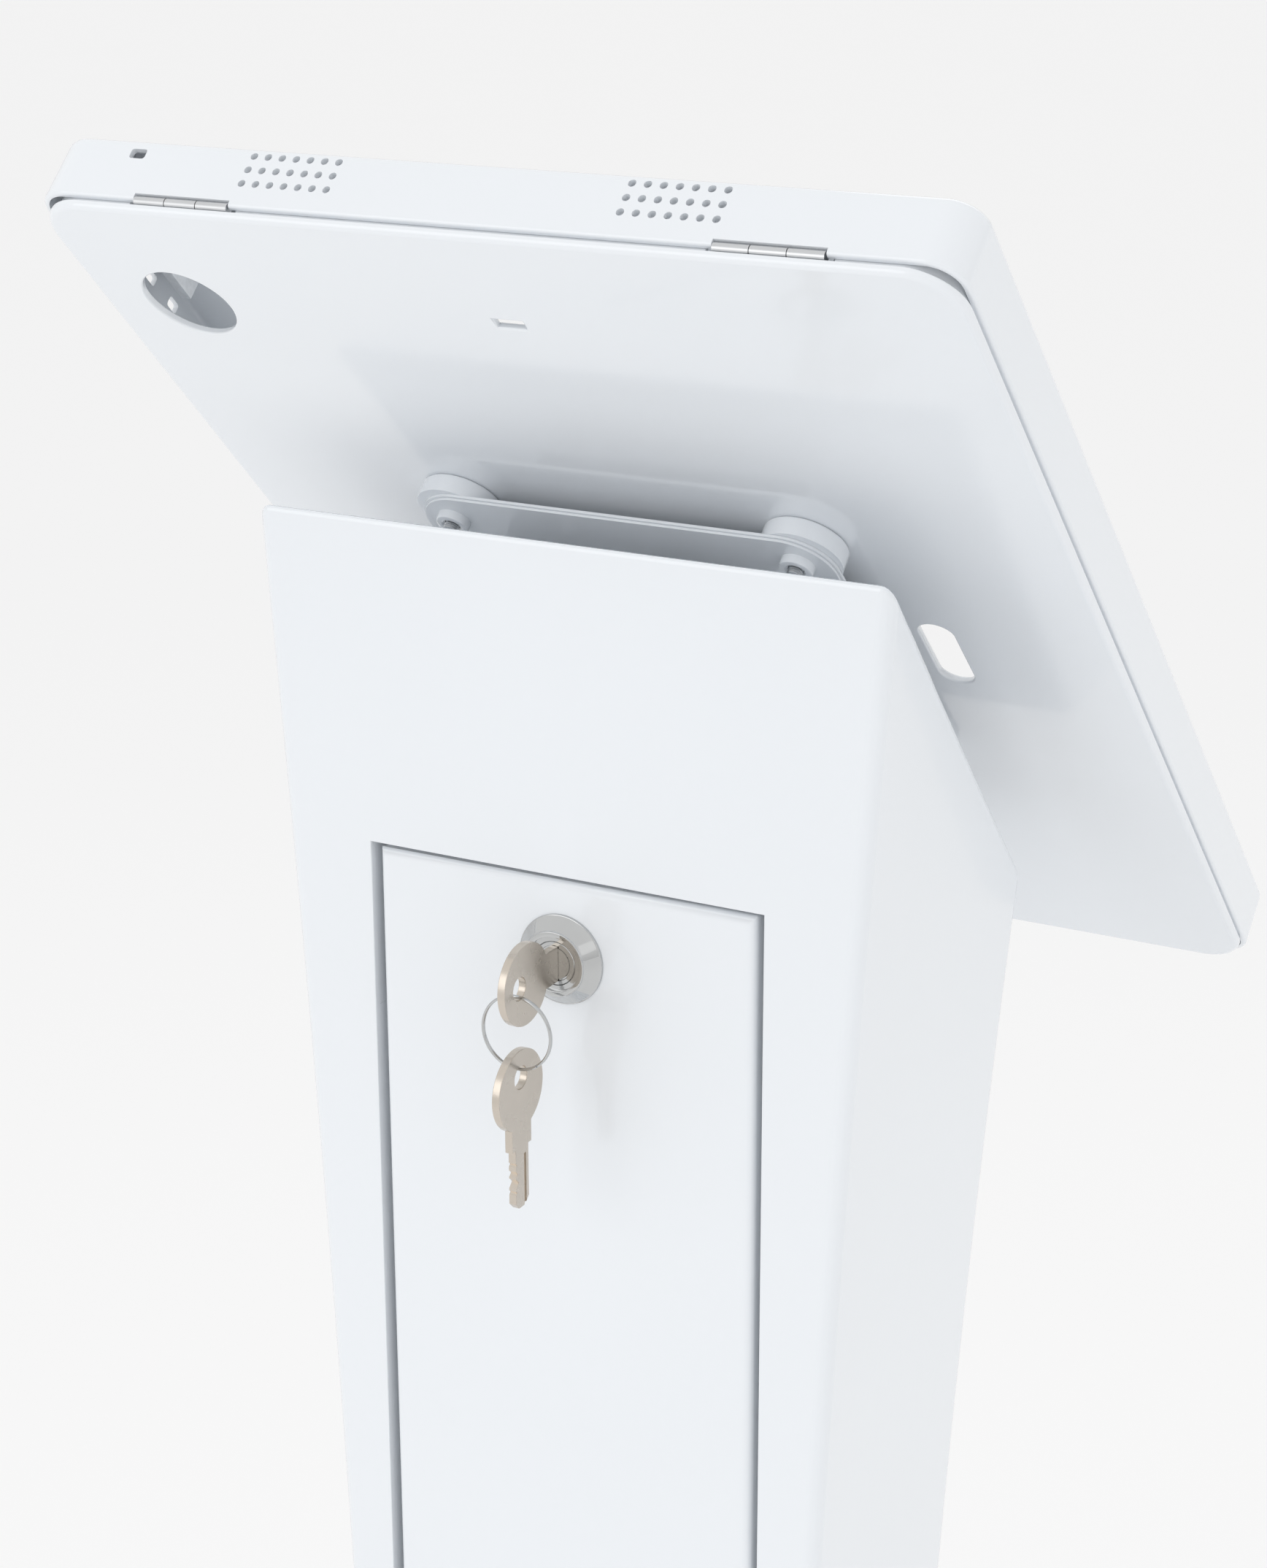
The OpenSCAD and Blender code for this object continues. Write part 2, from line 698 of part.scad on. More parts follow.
shell_lock_z = 12;
shell_flange_d = 13;
shell_flange_h = 1.6;
shell_barrel_d = 9.4;
shell_barrel_l = 12;
shell_plug_d = 6.4;
shell_plug_recess = 0.4;
shell_nut_h = 2.4;
shell_cam_t = 1.8;
shell_cam_w = 5.6;
shell_cam_reach = 8.4;
shell_cam_y = -shell_h / 2 + shell_barrel_l;

module at_shell_lock() {
    in_enclosure() translate([0, -shell_h / 2, shell_lock_z]) children();
}

module shell_lock_body() {
    color(nickel) at_shell_lock() difference() {
        union() {
            translate([0, -shell_flange_h, 0]) along_y(shell_flange_d, shell_flange_h);
            along_y(shell_barrel_d, shell_barrel_l - touch);
        }
        translate([0, -shell_flange_h - over, 0])
            along_y(shell_plug_d + 2 * run, shell_barrel_l + shell_flange_h + 2 * over);
    }
}

module shell_lock_nut() {
    color(zinc) at_shell_lock() difference() {
        translate([0, shell_wall, 0]) along_y(shell_flange_d, shell_nut_h);
        translate([0, shell_wall - over, 0]) along_y(shell_barrel_d + 2 * run, shell_nut_h + 2 * over);
    }
}

module shell_lock_plug() {
    color(nickel) at_shell_lock() difference() {
        translate([0, -shell_flange_h + shell_plug_recess, 0])
            along_y(shell_plug_d, shell_barrel_l + shell_flange_h - shell_plug_recess);
        translate([-0.5, -shell_flange_h - over, -2]) cube([1, 8, 4]);
    }
}

module shell_lock_cam() {
    color(zinc) at_shell_lock() translate([0, shell_barrel_l, 0]) {
        along_y(shell_cam_w + 2, shell_cam_t);
        translate([-shell_cam_w / 2, 0, -shell_cam_reach]) cube([shell_cam_w, shell_cam_t, shell_cam_reach]);
    }
}

// Hooked bracket on the back panel, over the turned cam
module strike_plate() {
    lip_z = shell_lock_z + shell_cam_w / 2 + touch;
    leg_x = shell_cam_reach + 2;
    strike_w = 8;
    color(zinc) in_enclosure() translate([0, shell_cam_y + shell_cam_t / 2 - strike_w / 2, 0]) {
        translate([leg_x, 0, panel_t]) cube([1.5, strike_w, lip_z - panel_t + 1.5]);
        translate([shell_cam_w / 2 + 2, 0, lip_z]) cube([leg_x - shell_cam_w / 2 - 2, strike_w, 1.5]);
        translate([leg_x + 1.5, 0, panel_t]) cube([9, strike_w, 1.5]);
    }
}

// ---------- service door ----------

module service_door() {
    door_h = door_high_z - door_low_z;
    color(powder_white) difference() {
        translate([-door_w / 2, column_rear_y - door_fold, door_low_z]) cube([door_w, door_fold, door_h]);
        translate([-door_w / 2 + door_wall, column_rear_y - door_fold - over, door_low_z + door_wall])
            cube([door_w - 2 * door_wall, door_fold - door_wall + over, door_h - 2 * door_wall]);
        translate([0, column_rear_y - door_wall - over, lock_z])
            along_y(lock_barrel_d + 2 * run, door_wall + 2 * over);
        for (s = [-1, 1])
            translate([s * door_w / 2 - 5 * over, pivot_y, pivot_z]) along_x(pivot_d + 2 * run, 10 * over);
    }
}

pivot_head_d = pivot_d + 3;

// Pin through the door's fold into the column's ear, on the side s
module door_pivot(s) {
    inner_x = door_w / 2 - door_wall;
    color(zinc) mirror([s < 0 ? 1 : 0, 0, 0]) translate([0, pivot_y, pivot_z]) {
        translate([inner_x - 2, 0, 0]) along_x(pivot_head_d, 2);
        translate([inner_x - 0.01, 0, 0]) along_x(pivot_d, pivot_ear_x + pivot_ear_t - inner_x);
    }
}

module door_pivot_left() { door_pivot(1); }
module door_pivot_right() { door_pivot(-1); }

// ---------- door lock ----------

module at_lock() {
    translate([0, column_rear_y, lock_z]) children();
}

module door_lock_body() {
    ring_l = 0.8;
    color(nickel) at_lock() difference() {
        union() {
            rotate([-90, 0, 0]) cylinder(d1 = lock_bezel_d, d2 = lock_ring_d, h = lock_bezel_h - ring_l);
            translate([0, lock_bezel_h - ring_l - 0.01, 0]) along_y(lock_ring_d, ring_l);
            translate([0, -lock_barrel_l, 0]) along_y(lock_barrel_d, lock_barrel_l + 0.01);
        }
        translate([0, -lock_barrel_l - over, 0])
            along_y(lock_plug_d + 2 * run, lock_barrel_l + lock_bezel_h + 2 * over);
        translate([0, lock_bezel_h - plug_recess, 0]) along_y(lock_ring_d - 3, plug_recess + over);
    }
}

module door_lock_nut() {
    nut_h = 4;
    nut_d = lock_barrel_d + 5.2;
    color(zinc) at_lock() difference() {
        translate([0, -door_wall - nut_h, 0]) along_y(nut_d, nut_h);
        translate([0, -door_wall - nut_h - over, 0]) along_y(lock_barrel_d + 2 * run, nut_h + 2 * over);
    }
}

keyway_t = key_t + 2 * run;
keyway_w = key_blade_w + 2 * run;
keyway_l = key_blade_l + 1;
cam_screw_d = 3;
cam_screw_h = plug_face_y - keyway_l - 0.4 - barrel_end_y;

module door_lock_plug() {
    color(nickel) translate([0, barrel_end_y, lock_z]) difference() {
        along_y(lock_plug_d, plug_face_y - barrel_end_y);
        translate([-keyway_t / 2, plug_face_y - barrel_end_y - keyway_l, -keyway_w / 2])
            cube([keyway_t, keyway_l + over, keyway_w]);
        translate([0, -over, 0]) along_y(cam_screw_d + 2 * run, over + cam_screw_h + 0.2);
    }
}

module door_lock_cam() {
    cam_w = 14;
    color(zinc) translate([0, barrel_end_y - cam_t, lock_z]) difference() {
        union() {
            along_y(cam_w, cam_t);
            translate([0, 0, -cam_w / 2]) cube([cam_reach, cam_t, cam_w]);
        }
        translate([0, -over, 0]) along_y(cam_screw_d + 2 * run, cam_t + 2 * over);
    }
}

module cam_screw() {
    color(zinc) translate([0, barrel_end_y - cam_t, lock_z]) {
        translate([0, -cam_t, 0]) along_y(2 * cam_screw_d + 1, cam_t);
        translate([0, -0.01, 0]) along_y(cam_screw_d, cam_t + cam_screw_h);
    }
}

// ---------- keys ----------

// A key's outline: bow centred on the origin, blade towards -x
module key_outline() {
    shoulder_x = -bow_to_shoulder;
    difference() {
        union() {
            circle(bow_d / 2);
            translate([shoulder_x, -key_neck_w / 2]) square([bow_to_shoulder, key_neck_w]);
            translate([shoulder_x - key_blade_l + 3, -key_blade_w / 2])
                square([key_blade_l - 2, key_blade_w]);
            polygon([[shoulder_x - key_blade_l + 3, -key_blade_w / 2],
                [shoulder_x - key_blade_l + 3, key_blade_w / 2],
                [shoulder_x - key_blade_l, key_blade_w / 2 - 2],
                [shoulder_x - key_blade_l, -key_blade_w / 2 + 2]]);
        }
        translate([bow_hole_out, 0]) circle(bow_hole_d / 2);
        for (i = [0 : 5])
            translate([shoulder_x - 4 - i * 2.6, -key_blade_w / 2 - 0.6 + (i % 3) * 0.4])
                rotate(45) square(1.6, center = true);
    }
}

module key_solid() {
    translate([0, 0, -key_t / 2]) linear_extrude(key_t) key_outline();
}

module door_key() {
    color(nickel) translate([0, bow_y, lock_z]) rotate([90, 0, 90]) key_solid();
}

module key_ring() {
    color(zinc) translate([0, ring_y, ring_z]) rotate([90, 0, 0])
        rotate_extrude() translate([ring_r, 0]) circle(ring_wire_d / 2, $fn = 24);
}

module spare_key() {
    color(nickel) translate([0, ring_y, spare_hole_z - bow_hole_out]) rotate([90, 0, 90]) rotate(90)
        key_solid();
}

base_pad();
base_plate();
foot_flange();
base_screws();
column_shell();
door_stop_left();
door_stop_right();
lock_catch();
pivot_bracket_left();
pivot_bracket_right();
mount_riser();
riser_bolts();
hub_plate();
vesa_plate();
spacer_1();
spacer_2();
spacer_3();
spacer_4();
weld_nuts();
mount_screws();
back_panel();
foam_strip_left();
foam_strip_right();
strike_plate();
hinge_left_fixed_leaf();
hinge_right_fixed_leaf();
hinge_left_pin();
hinge_right_pin();
hinge_left_moving_leaf();
hinge_right_moving_leaf();
front_shell();
corner_bracket_1();
corner_bracket_2();
corner_bracket_3();
corner_bracket_4();
shell_lock_body();
shell_lock_nut();
shell_lock_plug();
shell_lock_cam();
service_door();
door_pivot_left();
door_pivot_right();
door_lock_body();
door_lock_nut();
door_lock_plug();
door_lock_cam();
cam_screw();
door_key();
key_ring();
spare_key();
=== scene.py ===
import json
import math

import bmesh
import bpy
from bpy.props import FloatProperty, FloatVectorProperty, PointerProperty
from mathutils import Matrix, Vector


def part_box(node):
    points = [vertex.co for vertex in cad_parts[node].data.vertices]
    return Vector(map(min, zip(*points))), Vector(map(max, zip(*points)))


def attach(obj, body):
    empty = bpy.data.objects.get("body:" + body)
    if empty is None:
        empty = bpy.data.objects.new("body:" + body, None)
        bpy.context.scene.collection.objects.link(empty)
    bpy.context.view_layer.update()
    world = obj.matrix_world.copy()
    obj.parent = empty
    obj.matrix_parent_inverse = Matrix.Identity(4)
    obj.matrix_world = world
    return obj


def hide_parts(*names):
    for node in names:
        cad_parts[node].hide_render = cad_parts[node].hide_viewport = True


bl_info = {
    "name": "Tablet kiosk",
    "version": (1, 0, 0),
    "blender": (4, 5, 0),
    "location": "View3D > Sidebar > Kiosk",
    "description": "A free-standing tablet kiosk with its enclosure, service door, lock and keys",
    "category": "Add Mesh",
}

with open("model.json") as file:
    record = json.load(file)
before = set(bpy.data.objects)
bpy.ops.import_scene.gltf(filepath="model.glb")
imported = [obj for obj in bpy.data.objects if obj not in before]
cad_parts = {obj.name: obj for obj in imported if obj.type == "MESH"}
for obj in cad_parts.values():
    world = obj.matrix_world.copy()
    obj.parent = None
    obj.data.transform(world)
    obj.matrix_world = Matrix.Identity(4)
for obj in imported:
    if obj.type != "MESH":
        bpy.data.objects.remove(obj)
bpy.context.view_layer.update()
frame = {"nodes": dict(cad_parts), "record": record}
MM = 0.001
OVER = 2 * MM             # overrun of every cutting shape
RUN = 0.05 * MM           # radial clearance of a running fit
FREE = 0.15 * MM          # radial clearance of a screw in its hole
SIDES = (-1, 1)
FINISHES = {}             # materials made so far, by slot


# ---------------------------------------------------------------- settings

def length(name, description, millimetres):
    return FloatProperty(name=name, description=description, default=millimetres * MM, unit="LENGTH")


def colour(name, description, shade):
    return FloatVectorProperty(name=name, description=description, default=shade, size=3,
                               subtype="COLOR")


class EnclosureSizes(bpy.types.PropertyGroup):
    tilt: FloatProperty(name="Tilt", description="Tilt of the enclosure from horizontal",
                        default=math.radians(45), subtype="ANGLE", unit="ROTATION")
    panel_w: length("Panel width", "Width of the back panel", 244)
    panel_h: length("Panel height", "Height of the back panel up the slope", 332.8)
    panel_t: length("Panel thickness", "Thickness of the back panel", 2)
    depth: length("Depth", "Depth of the enclosure from the panel's rear to the bezel's face", 21.1)
    panel_corner: length("Panel corner", "Corner radius of the back panel", 13.5)
    panel_rim: length("Panel rim", "Rounding of the back panel's folded rim", 1.7)
    lip_h: length("Lip height", "Height of the folded lip inside the back panel", 3)
    lip_t: length("Lip thickness", "Sheet thickness of that lip", 1)
    lip_gap: length("Lip gap", "Gap between the lip and the shell's inner face", 0.25)
    shell_gap: length("Shell gap", "Gap between the panel and the shell's rear edge", 1.2)
    shell_proud: length("Shell proud", "Amount the shell stands proud of the panel", 0.5)
    shell_wall: length("Shell wall", "Sheet thickness of the front shell", 1.5)
    shell_corner: length("Shell corner", "Corner radius of the front shell", 9)
    shell_bend: length("Shell bend", "Outer bend radius round the bezel", 2.6)
    shell_lip: length("Shell lip", "Rounding of the shell's rear edge", 0.9)
    window_w: length("Window width", "Width of the screen window", 200)
    window_h: length("Window height", "Height of the screen window", 266)
    window_corner: length("Window corner", "Corner radius of the screen window", 6)
    tablet_t: length("Tablet thickness", "Thickness of the tablet", 6.4)
    camera_d: length("Camera hole", "Diameter of the rear camera hole", 25)
    camera_from_side: length("Camera hole from side", "Its distance from the panel's side", 27.1)
    camera_from_top: length("Camera hole from top", "Its distance from the panel's top", 37.7)
    cable_slot_w: length("Cable slot width", "Width of the cable slot", 9.6)
    cable_slot_l: length("Cable slot length", "Length of the cable slot", 29)
    cable_slot_x: length("Cable slot place", "Distance of the slot from the centreline", 73.4)
    sensor_w: length("Sensor slot width", "Width of the sensor slot", 8)
    sensor_h: length("Sensor slot height", "Height of the sensor slot", 3.4)
    sensor_from_top: length("Sensor slot from top", "Its distance from the panel's top", 33.4)
    speaker_d: length("Speaker hole", "Diameter of one speaker hole", 2)
    speaker_pitch: length("Speaker pitch", "Pitch of the speaker holes", 4)
    speaker_x: length("Speaker place", "Distance of a grille from the centreline", 51)
    speaker_shift: length("Speaker shift", "Grille's distance behind the tablet's middle", 2.4)
    button_l: length("Button length", "Length of a button opening", 4.6)
    button_w: length("Button width", "Width of a button opening", 2.8)
    button_corner: length("Button corner", "Corner radius of a button opening", 0.8)
    power_from_side: length("Power from side", "Power opening from the shell's side", 26.1)
    volume_from_top: length("Volume from top", "Upper volume opening from the shell's top", 50.5)
    volume_pitch: length("Volume pitch", "Pitch of the two volume openings", 12)
    volume_shift: length("Volume shift", "Their distance behind the tablet's middle", 1.4)
    hinge_l: length("Hinge length", "Length of a hinge", 27)
    hinge_x: length("Hinge place", "Distance of a hinge from the centreline", 77.8)
    notch_h: length("Notch height", "Height of a hinge notch from the panel", 2.85)
    lock_d: length("Small lock flange", "Diameter of the enclosure lock's flange", 13)
    lock_barrel_d: length("Small lock barrel", "Diameter of the enclosure lock's barrel", 9.4)
    lock_plug_d: length("Small lock plug", "Diameter of the enclosure lock's plug", 6.4)
    lock_deep: length("Small lock depth", "Depth of that lock inside the wall", 12)
    lock_out: length("Small lock height", "Height of its flange outside the wall", 1.6)


class MountSizes(bpy.types.PropertyGroup):
    pitch: length("Hole pitch", "Hole pitch of the enclosure mount", 100)
    plate_corner: length("Plate corner", "Corner radius of the mounting sheets", 13)
    sheet_t: length("Sheet thickness", "Thickness of each mounting sheet", 0.8)
    spacer_d: length("Spacer diameter", "Diameter of a spacer", 22.6)
    spacer_h: length("Spacer height", "Height of a spacer", 5.4)
    screw_d: length("Screw diameter", "Diameter of a mounting screw", 4)
    screw_head_d: length("Screw head", "Diameter of a mounting screw's head", 8)
    screw_head_h: length("Screw head height", "Height of a mounting screw's head", 2.6)
    nut_d: length("Weld nut", "Diameter of a weld nut's collar", 9)
    nut_h: length("Weld nut height", "Height of a weld nut's collar", 2.4)
    screw_tip: length("Screw tip", "Length of screw past its weld nut", 1.8)
    riser_w: length("Riser width", "Width of the riser tube", 84)
    riser_l: length("Riser length", "Length of the riser tube", 80)
    riser_h: length("Riser height", "Height of the riser tube", 17.6)
    riser_wall: length("Riser wall", "Wall of the riser tube", 2)
    riser_bend: length("Riser bend", "Outer bend radius of the riser tube", 4)
    cable_hole_d: length("Cable hole", "Diameter of the cable hole", 40)


class ColumnSizes(bpy.types.PropertyGroup):
    waist_w: length("Waist width", "Width of the column at its waist", 136)
    waist_d: length("Waist depth", "Depth of the column at its waist", 83.3)
    waist_z: length("Waist height", "Height of the waist above the floor", 452)
    side_r: length("Side radius", "Radius of the concave sides", 8000)
    front_r: length("Front radius", "Radius of the concave front", 5080)
    wall: length("Column wall", "Sheet thickness of the column", 2)
    bend: length("Column bend", "Outer bend radius of the column", 4)
    rim: length("Column rim", "Rounding round the sloped top", 3)
    opening_w: length("Door opening", "Width of the door opening", 115.2)
    opening_top: length("Opening over door", "Gap over the door", 1.2)
    opening_bottom: length("Opening under door", "Gap under the door", 3)
    return_d: length("Opening return", "Depth of the folded return round the opening", 14)
    cut_edge: length("Cut edge", "Rounding of the opening's cut edges", 0.4)
    return_gap: length("Return gap", "Return's face behind the opening's edge", 0.1)
    door_wall: length("Door wall", "Sheet thickness of the door", 1.5)
    door_bend: length("Door bend", "Outer bend radius of the door's folds", 2.6)
    door_corner: length("Door corner", "Corner radius of the door", 1.2)
    pivot_d: length("Pivot", "Diameter of a door pivot pin", 6)
    base_corner: length("Base corner", "Corner radius of the base plate", 25)
    base_rim: length("Base rim", "Rounding of the base plate's edge", 1.2)
    anchor_inset: length("Anchor inset", "Anchor holes from the plate's edges", 30)
    anchor_d: length("Anchor hole", "Diameter of an anchor hole", 11)
    anchor_rim: length("Anchor rim", "Rounding of an anchor hole's upper edge", 0.8)
    foot_bore: length("Foot screw bore", "Diameter of a foot screw's hole", 8.3)
    foot_sink: length("Foot screw sink", "Diameter of the sink for its head", 15.3)
    foot_sink_h: length("Foot screw sink depth", "Depth of that sink", 4)
    pad_inset: length("Pad inset", "Rubber sheet's corner and holes inside the plate's", 2)
    pad_rim: length("Pad rim", "Rounding of the rubber sheet's edges", 0.4)


class LockSizes(bpy.types.PropertyGroup):
    bezel_d: length("Bezel", "Diameter of the bezel against the door", 24.5)
    ring_d: length("Bezel ring", "Diameter of the bezel's front ring", 17.7)
    bezel_h: length("Bezel height", "Height of the bezel", 4.6)
    barrel_d: length("Barrel", "Diameter of the lock's barrel", 14.8)
    barrel_l: length("Barrel length", "Length of the barrel behind the door", 20)
    plug_d: length("Plug", "Diameter of the rotating plug", 12)
    recess: length("Plug recess", "Depth of the plug's face in the bezel", 1)
    bow_d: length("Key bow", "Diameter of a key's bow", 21.8)
    key_t: length("Key thickness", "Thickness of a key", 2.2)
    neck_w: length("Key neck", "Width of a key's neck", 9.6)
    blade_w: length("Key blade width", "Width of a key's blade", 6.5)
    blade_l: length("Key blade length", "Length of a key's blade", 16.6)
    bow_hole_d: length("Bow hole", "Diameter of the hole in a bow", 6.2)
    bow_hole_out: length("Bow hole place", "Distance of the hole from the bow's centre", 3.5)
    shoulder: length("Shoulder", "Distance of the bow's centre from the shoulder", 15.8)
    ring_r: length("Key ring", "Radius of the key ring", 9.8)
    wire_d: length("Ring wire", "Thickness of the key ring's two turns together", 1.5)


class KioskColours(bpy.types.PropertyGroup):
    powder: colour("Powder coat", "White powder coat", (0.85, 0.88, 0.915))
    chrome: colour("Chrome", "Polished chrome plate", (0.55, 0.556, 0.555))
    nickel: colour("Nickel", "Satin nickel of the keys", (0.62, 0.56, 0.49))
    zinc: colour("Zinc", "Bright zinc plate", (0.64, 0.65, 0.66))
    rubber: colour("Rubber", "Black rubber", (0.02, 0.02, 0.022))
    floor: colour("Floor", "Pale floor", (0.96, 0.96, 0.96))


class StageSettings(bpy.types.PropertyGroup):
    camera_place: FloatVectorProperty(name="Camera place", description="Where the camera stands",
                                      default=(-0.3754, 0.7184, 1.2399), size=3,
                                      subtype="TRANSLATION", unit="LENGTH")
    camera_turn: FloatVectorProperty(name="Camera turn", description="Rotation of the camera",
                                     default=[math.radians(a) for a in (71.560, 0.152, -151.292)],
                                     size=3, subtype="EULER", unit="ROTATION")
    lens: FloatProperty(name="Lens", description="Focal length on a 36 mm sensor", default=71.7)
    floor_size: FloatProperty(name="Floor size", description="Side of the square floor",
                              default=80.0, unit="LENGTH")
    key_power: FloatProperty(name="Key light", description="Power of the softbox behind",
                             default=5.0)
    front_power: FloatProperty(name="Front light", description="Power of the softbox in front",
                               default=2.0)
    fill_power: FloatProperty(name="Fill light", description="Power of the side softbox", default=0.6)
    surround: FloatProperty(name="Surround", description="Strength of the pale surround", default=0.93)
    zenith: FloatProperty(name="Zenith", description="Brightness of the surround overhead", default=1.02)
    horizon: FloatProperty(name="Horizon", description="Brightness of the surround at the horizon",
                           default=0.8)


# ---------------------------------------------------------------- mesh tools

def soften(bm, edges, width, segments=3):
    bmesh.ops.bevel(bm, geom=edges, offset=width, offset_type="OFFSET", segments=segments,
                    profile=0.5, affect="EDGES", material=-1, clamp_overlap=False)


def level_edges(bm, axis, level):
    """Edges that lie in one plane across an axis."""
    return [edge for edge in bm.edges if all(abs(vert.co[axis] - level) < 1e-6 for vert in edge.verts)]


def edges_along(bm, axis, least):
    """Edges that run at least a length along an axis."""
    return [e for e in bm.edges if abs(e.verts[0].co[axis] - e.verts[1].co[axis]) > least]


def drop_face(bm, axis, level):
    """Deletes the faces that lie in one plane across an axis."""
    gone = [face for face in bm.faces if all(abs(vert.co[axis] - level) < 1e-6 for vert in face.verts)]
    bmesh.ops.delete(bm, geom=gone, context="FACES")


def block(low, high):
    """A plain block between two corners, to be shaped further."""
    bm = bmesh.new()
    low, high = Vector(low), Vector(high)
    place = Matrix.Translation((low + high) / 2) @ Matrix.Diagonal((*(high - low), 1))
    bmesh.ops.create_cube(bm, size=1.0, matrix=place)
    return bm


def slab(low, high, corner=0.0, rims=(0.0, 0.0), corner_steps=8, rim_steps=3):
    """A plate with rounded upright corners and rounded lower and upper rims."""
    bm = block(low, high)
    if corner:
        soften(bm, edges_along(bm, 2, 0.01 * MM), corner, corner_steps)
    for level, rim in zip((low[2], high[2]), rims):
        if rim:
            soften(bm, level_edges(bm, 2, level), rim, rim_steps)
    return bm


def rod(radius, low, high, steps=48, matrix=None):
    """A cylinder along z from low to high, mostly for cutting."""
    bm = bmesh.new()
    place = Matrix.Translation((0, 0, (low + high) / 2))
    bmesh.ops.create_cone(bm, cap_ends=True, segments=steps, radius1=radius, radius2=radius,
                          depth=high - low, matrix=(matrix or Matrix()) @ place)
    return bm


def lathe(profile, steps=64):
    """Turns a closed outline of radius and height pairs, in millimetres, about z."""
    bm = bmesh.new()
    points = [bm.verts.new((radius * MM, 0, height * MM)) for radius, height in profile]
    lines = [bm.edges.new(pair) for pair in zip(points, points[1:] + points[:1])]
    bmesh.ops.spin(bm, geom=points + lines, axis=(0, 0, 1), cent=(0, 0, 0), angle=math.tau,
                   steps=steps, use_merge=True)
    bmesh.ops.remove_doubles(bm, verts=bm.verts, dist=1e-6)
    flat = [edge for edge in bm.edges if not edge.link_faces]
    bmesh.ops.delete(bm, geom=flat, context="EDGES")
    bmesh.ops.recalc_face_normals(bm, faces=bm.faces)
    return bm


def moved(bm, matrix):
    bmesh.ops.transform(bm, matrix=matrix, verts=bm.verts)
    return bm


def joined(parts):
    """One mesh from several, which are used up."""
    bm = bmesh.new()
    for part in parts:
        mesh = bpy.data.meshes.new("part")
        part.to_mesh(mesh)
        part.free()
        bm.from_mesh(mesh)
        bpy.data.meshes.remove(mesh)
    return bm


def reshape(bm, kind, **settings):
    """Applies one modifier to a mesh."""
    mesh = bpy.data.meshes.new("shaping")
    bm.to_mesh(mesh)
    holder = bpy.data.objects.new("shaping", mesh)
    bpy.context.scene.collection.objects.link(holder)
    modifier = holder.modifiers.new("shaping", kind)
    for key, value in settings.items():
        setattr(modifier, key, value)
    finished = holder.evaluated_get(bpy.context.evaluated_depsgraph_get())
    result = bpy.data.meshes.new_from_object(finished)
    bm.clear()
    bm.from_mesh(result)
    bpy.data.objects.remove(holder)
    bpy.data.meshes.remove(mesh)
    bpy.data.meshes.remove(result)
    return bm


def carve(bm, cutters):
    """Cuts other meshes, which are used up, out of a mesh."""
    mesh = bpy.data.meshes.new("cutter")
    tool_bm = joined(cutters)
    tool_bm.to_mesh(mesh)
    tool_bm.free()
    tool = bpy.data.objects.new("cutter", mesh)
    bpy.context.scene.collection.objects.link(tool)
    reshape(bm, "BOOLEAN", object=tool, operation="DIFFERENCE", solver="EXACT")
    bpy.data.objects.remove(tool)
    bpy.data.meshes.remove(mesh)
    return bm


def thicken(bm, thickness):
    """Gives an open shell its wall, inwards."""
    bmesh.ops.recalc_face_normals(bm, faces=bm.faces)
    return reshape(bm, "SOLIDIFY", thickness=thickness, offset=-1.0, use_even_offset=True,
                   use_quality_normals=True)


def ring_edges(bm, centre, reach, level, axis=2):
    """Sharp edges in one plane and within reach of a point, such as a hole's rim."""
    near = []
    for edge in level_edges(bm, axis, level):
        middle = (edge.verts[0].co + edge.verts[1].co) / 2
        if (middle - Vector(centre)).length < reach and edge.is_manifold:
            if edge.calc_face_angle() > math.radians(40):
                near.append(edge)
    return near


def steep(edges, degrees=60):
    """Those of some edges that turn through more than an angle."""
    return [e for e in edges if e.is_manifold and e.calc_face_angle() > math.radians(degrees)]


def add_piece(name, bm, body, nodes, slot, matrix=None):
    """Makes the finished piece that stands for CAD nodes and rides on their body."""
    if matrix:
        moved(bm, matrix)
    bmesh.ops.remove_doubles(bm, verts=bm.verts, dist=1e-6)
    bmesh.ops.recalc_face_normals(bm, faces=bm.faces)
    for face in bm.faces:
        face.smooth = True
    mesh = bpy.data.meshes.new(name)
    bm.to_mesh(mesh)
    bm.free()
    mesh.set_sharp_from_angle(angle=math.radians(38))
    mesh.materials.append(finish_of(slot))
    piece = bpy.data.objects.new(name, mesh)
    bpy.context.scene.collection.objects.link(piece)
    evened = piece.modifiers.new("even_shading", "WEIGHTED_NORMAL")
    evened.keep_sharp = True
    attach(piece, body)
    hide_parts(*nodes)
    return piece


# ---------------------------------------------------------------- shader expressions

class Socket:
    """A node's output that takes part in Python arithmetic."""

    def __init__(self, graph, link):
        self.graph = graph
        self.link = link

    def math(self, operation, first, second):
        return self.graph.node("ShaderNodeMath", {"operation": operation}, [first, second])

    def __add__(self, other):
        return self.math("ADD", self, other)

    def __radd__(self, other):
        return self.math("ADD", other, self)

    def __rsub__(self, other):
        return self.math("SUBTRACT", other, self)

    def __rmul__(self, other):
        return self.math("MULTIPLY", other, self)


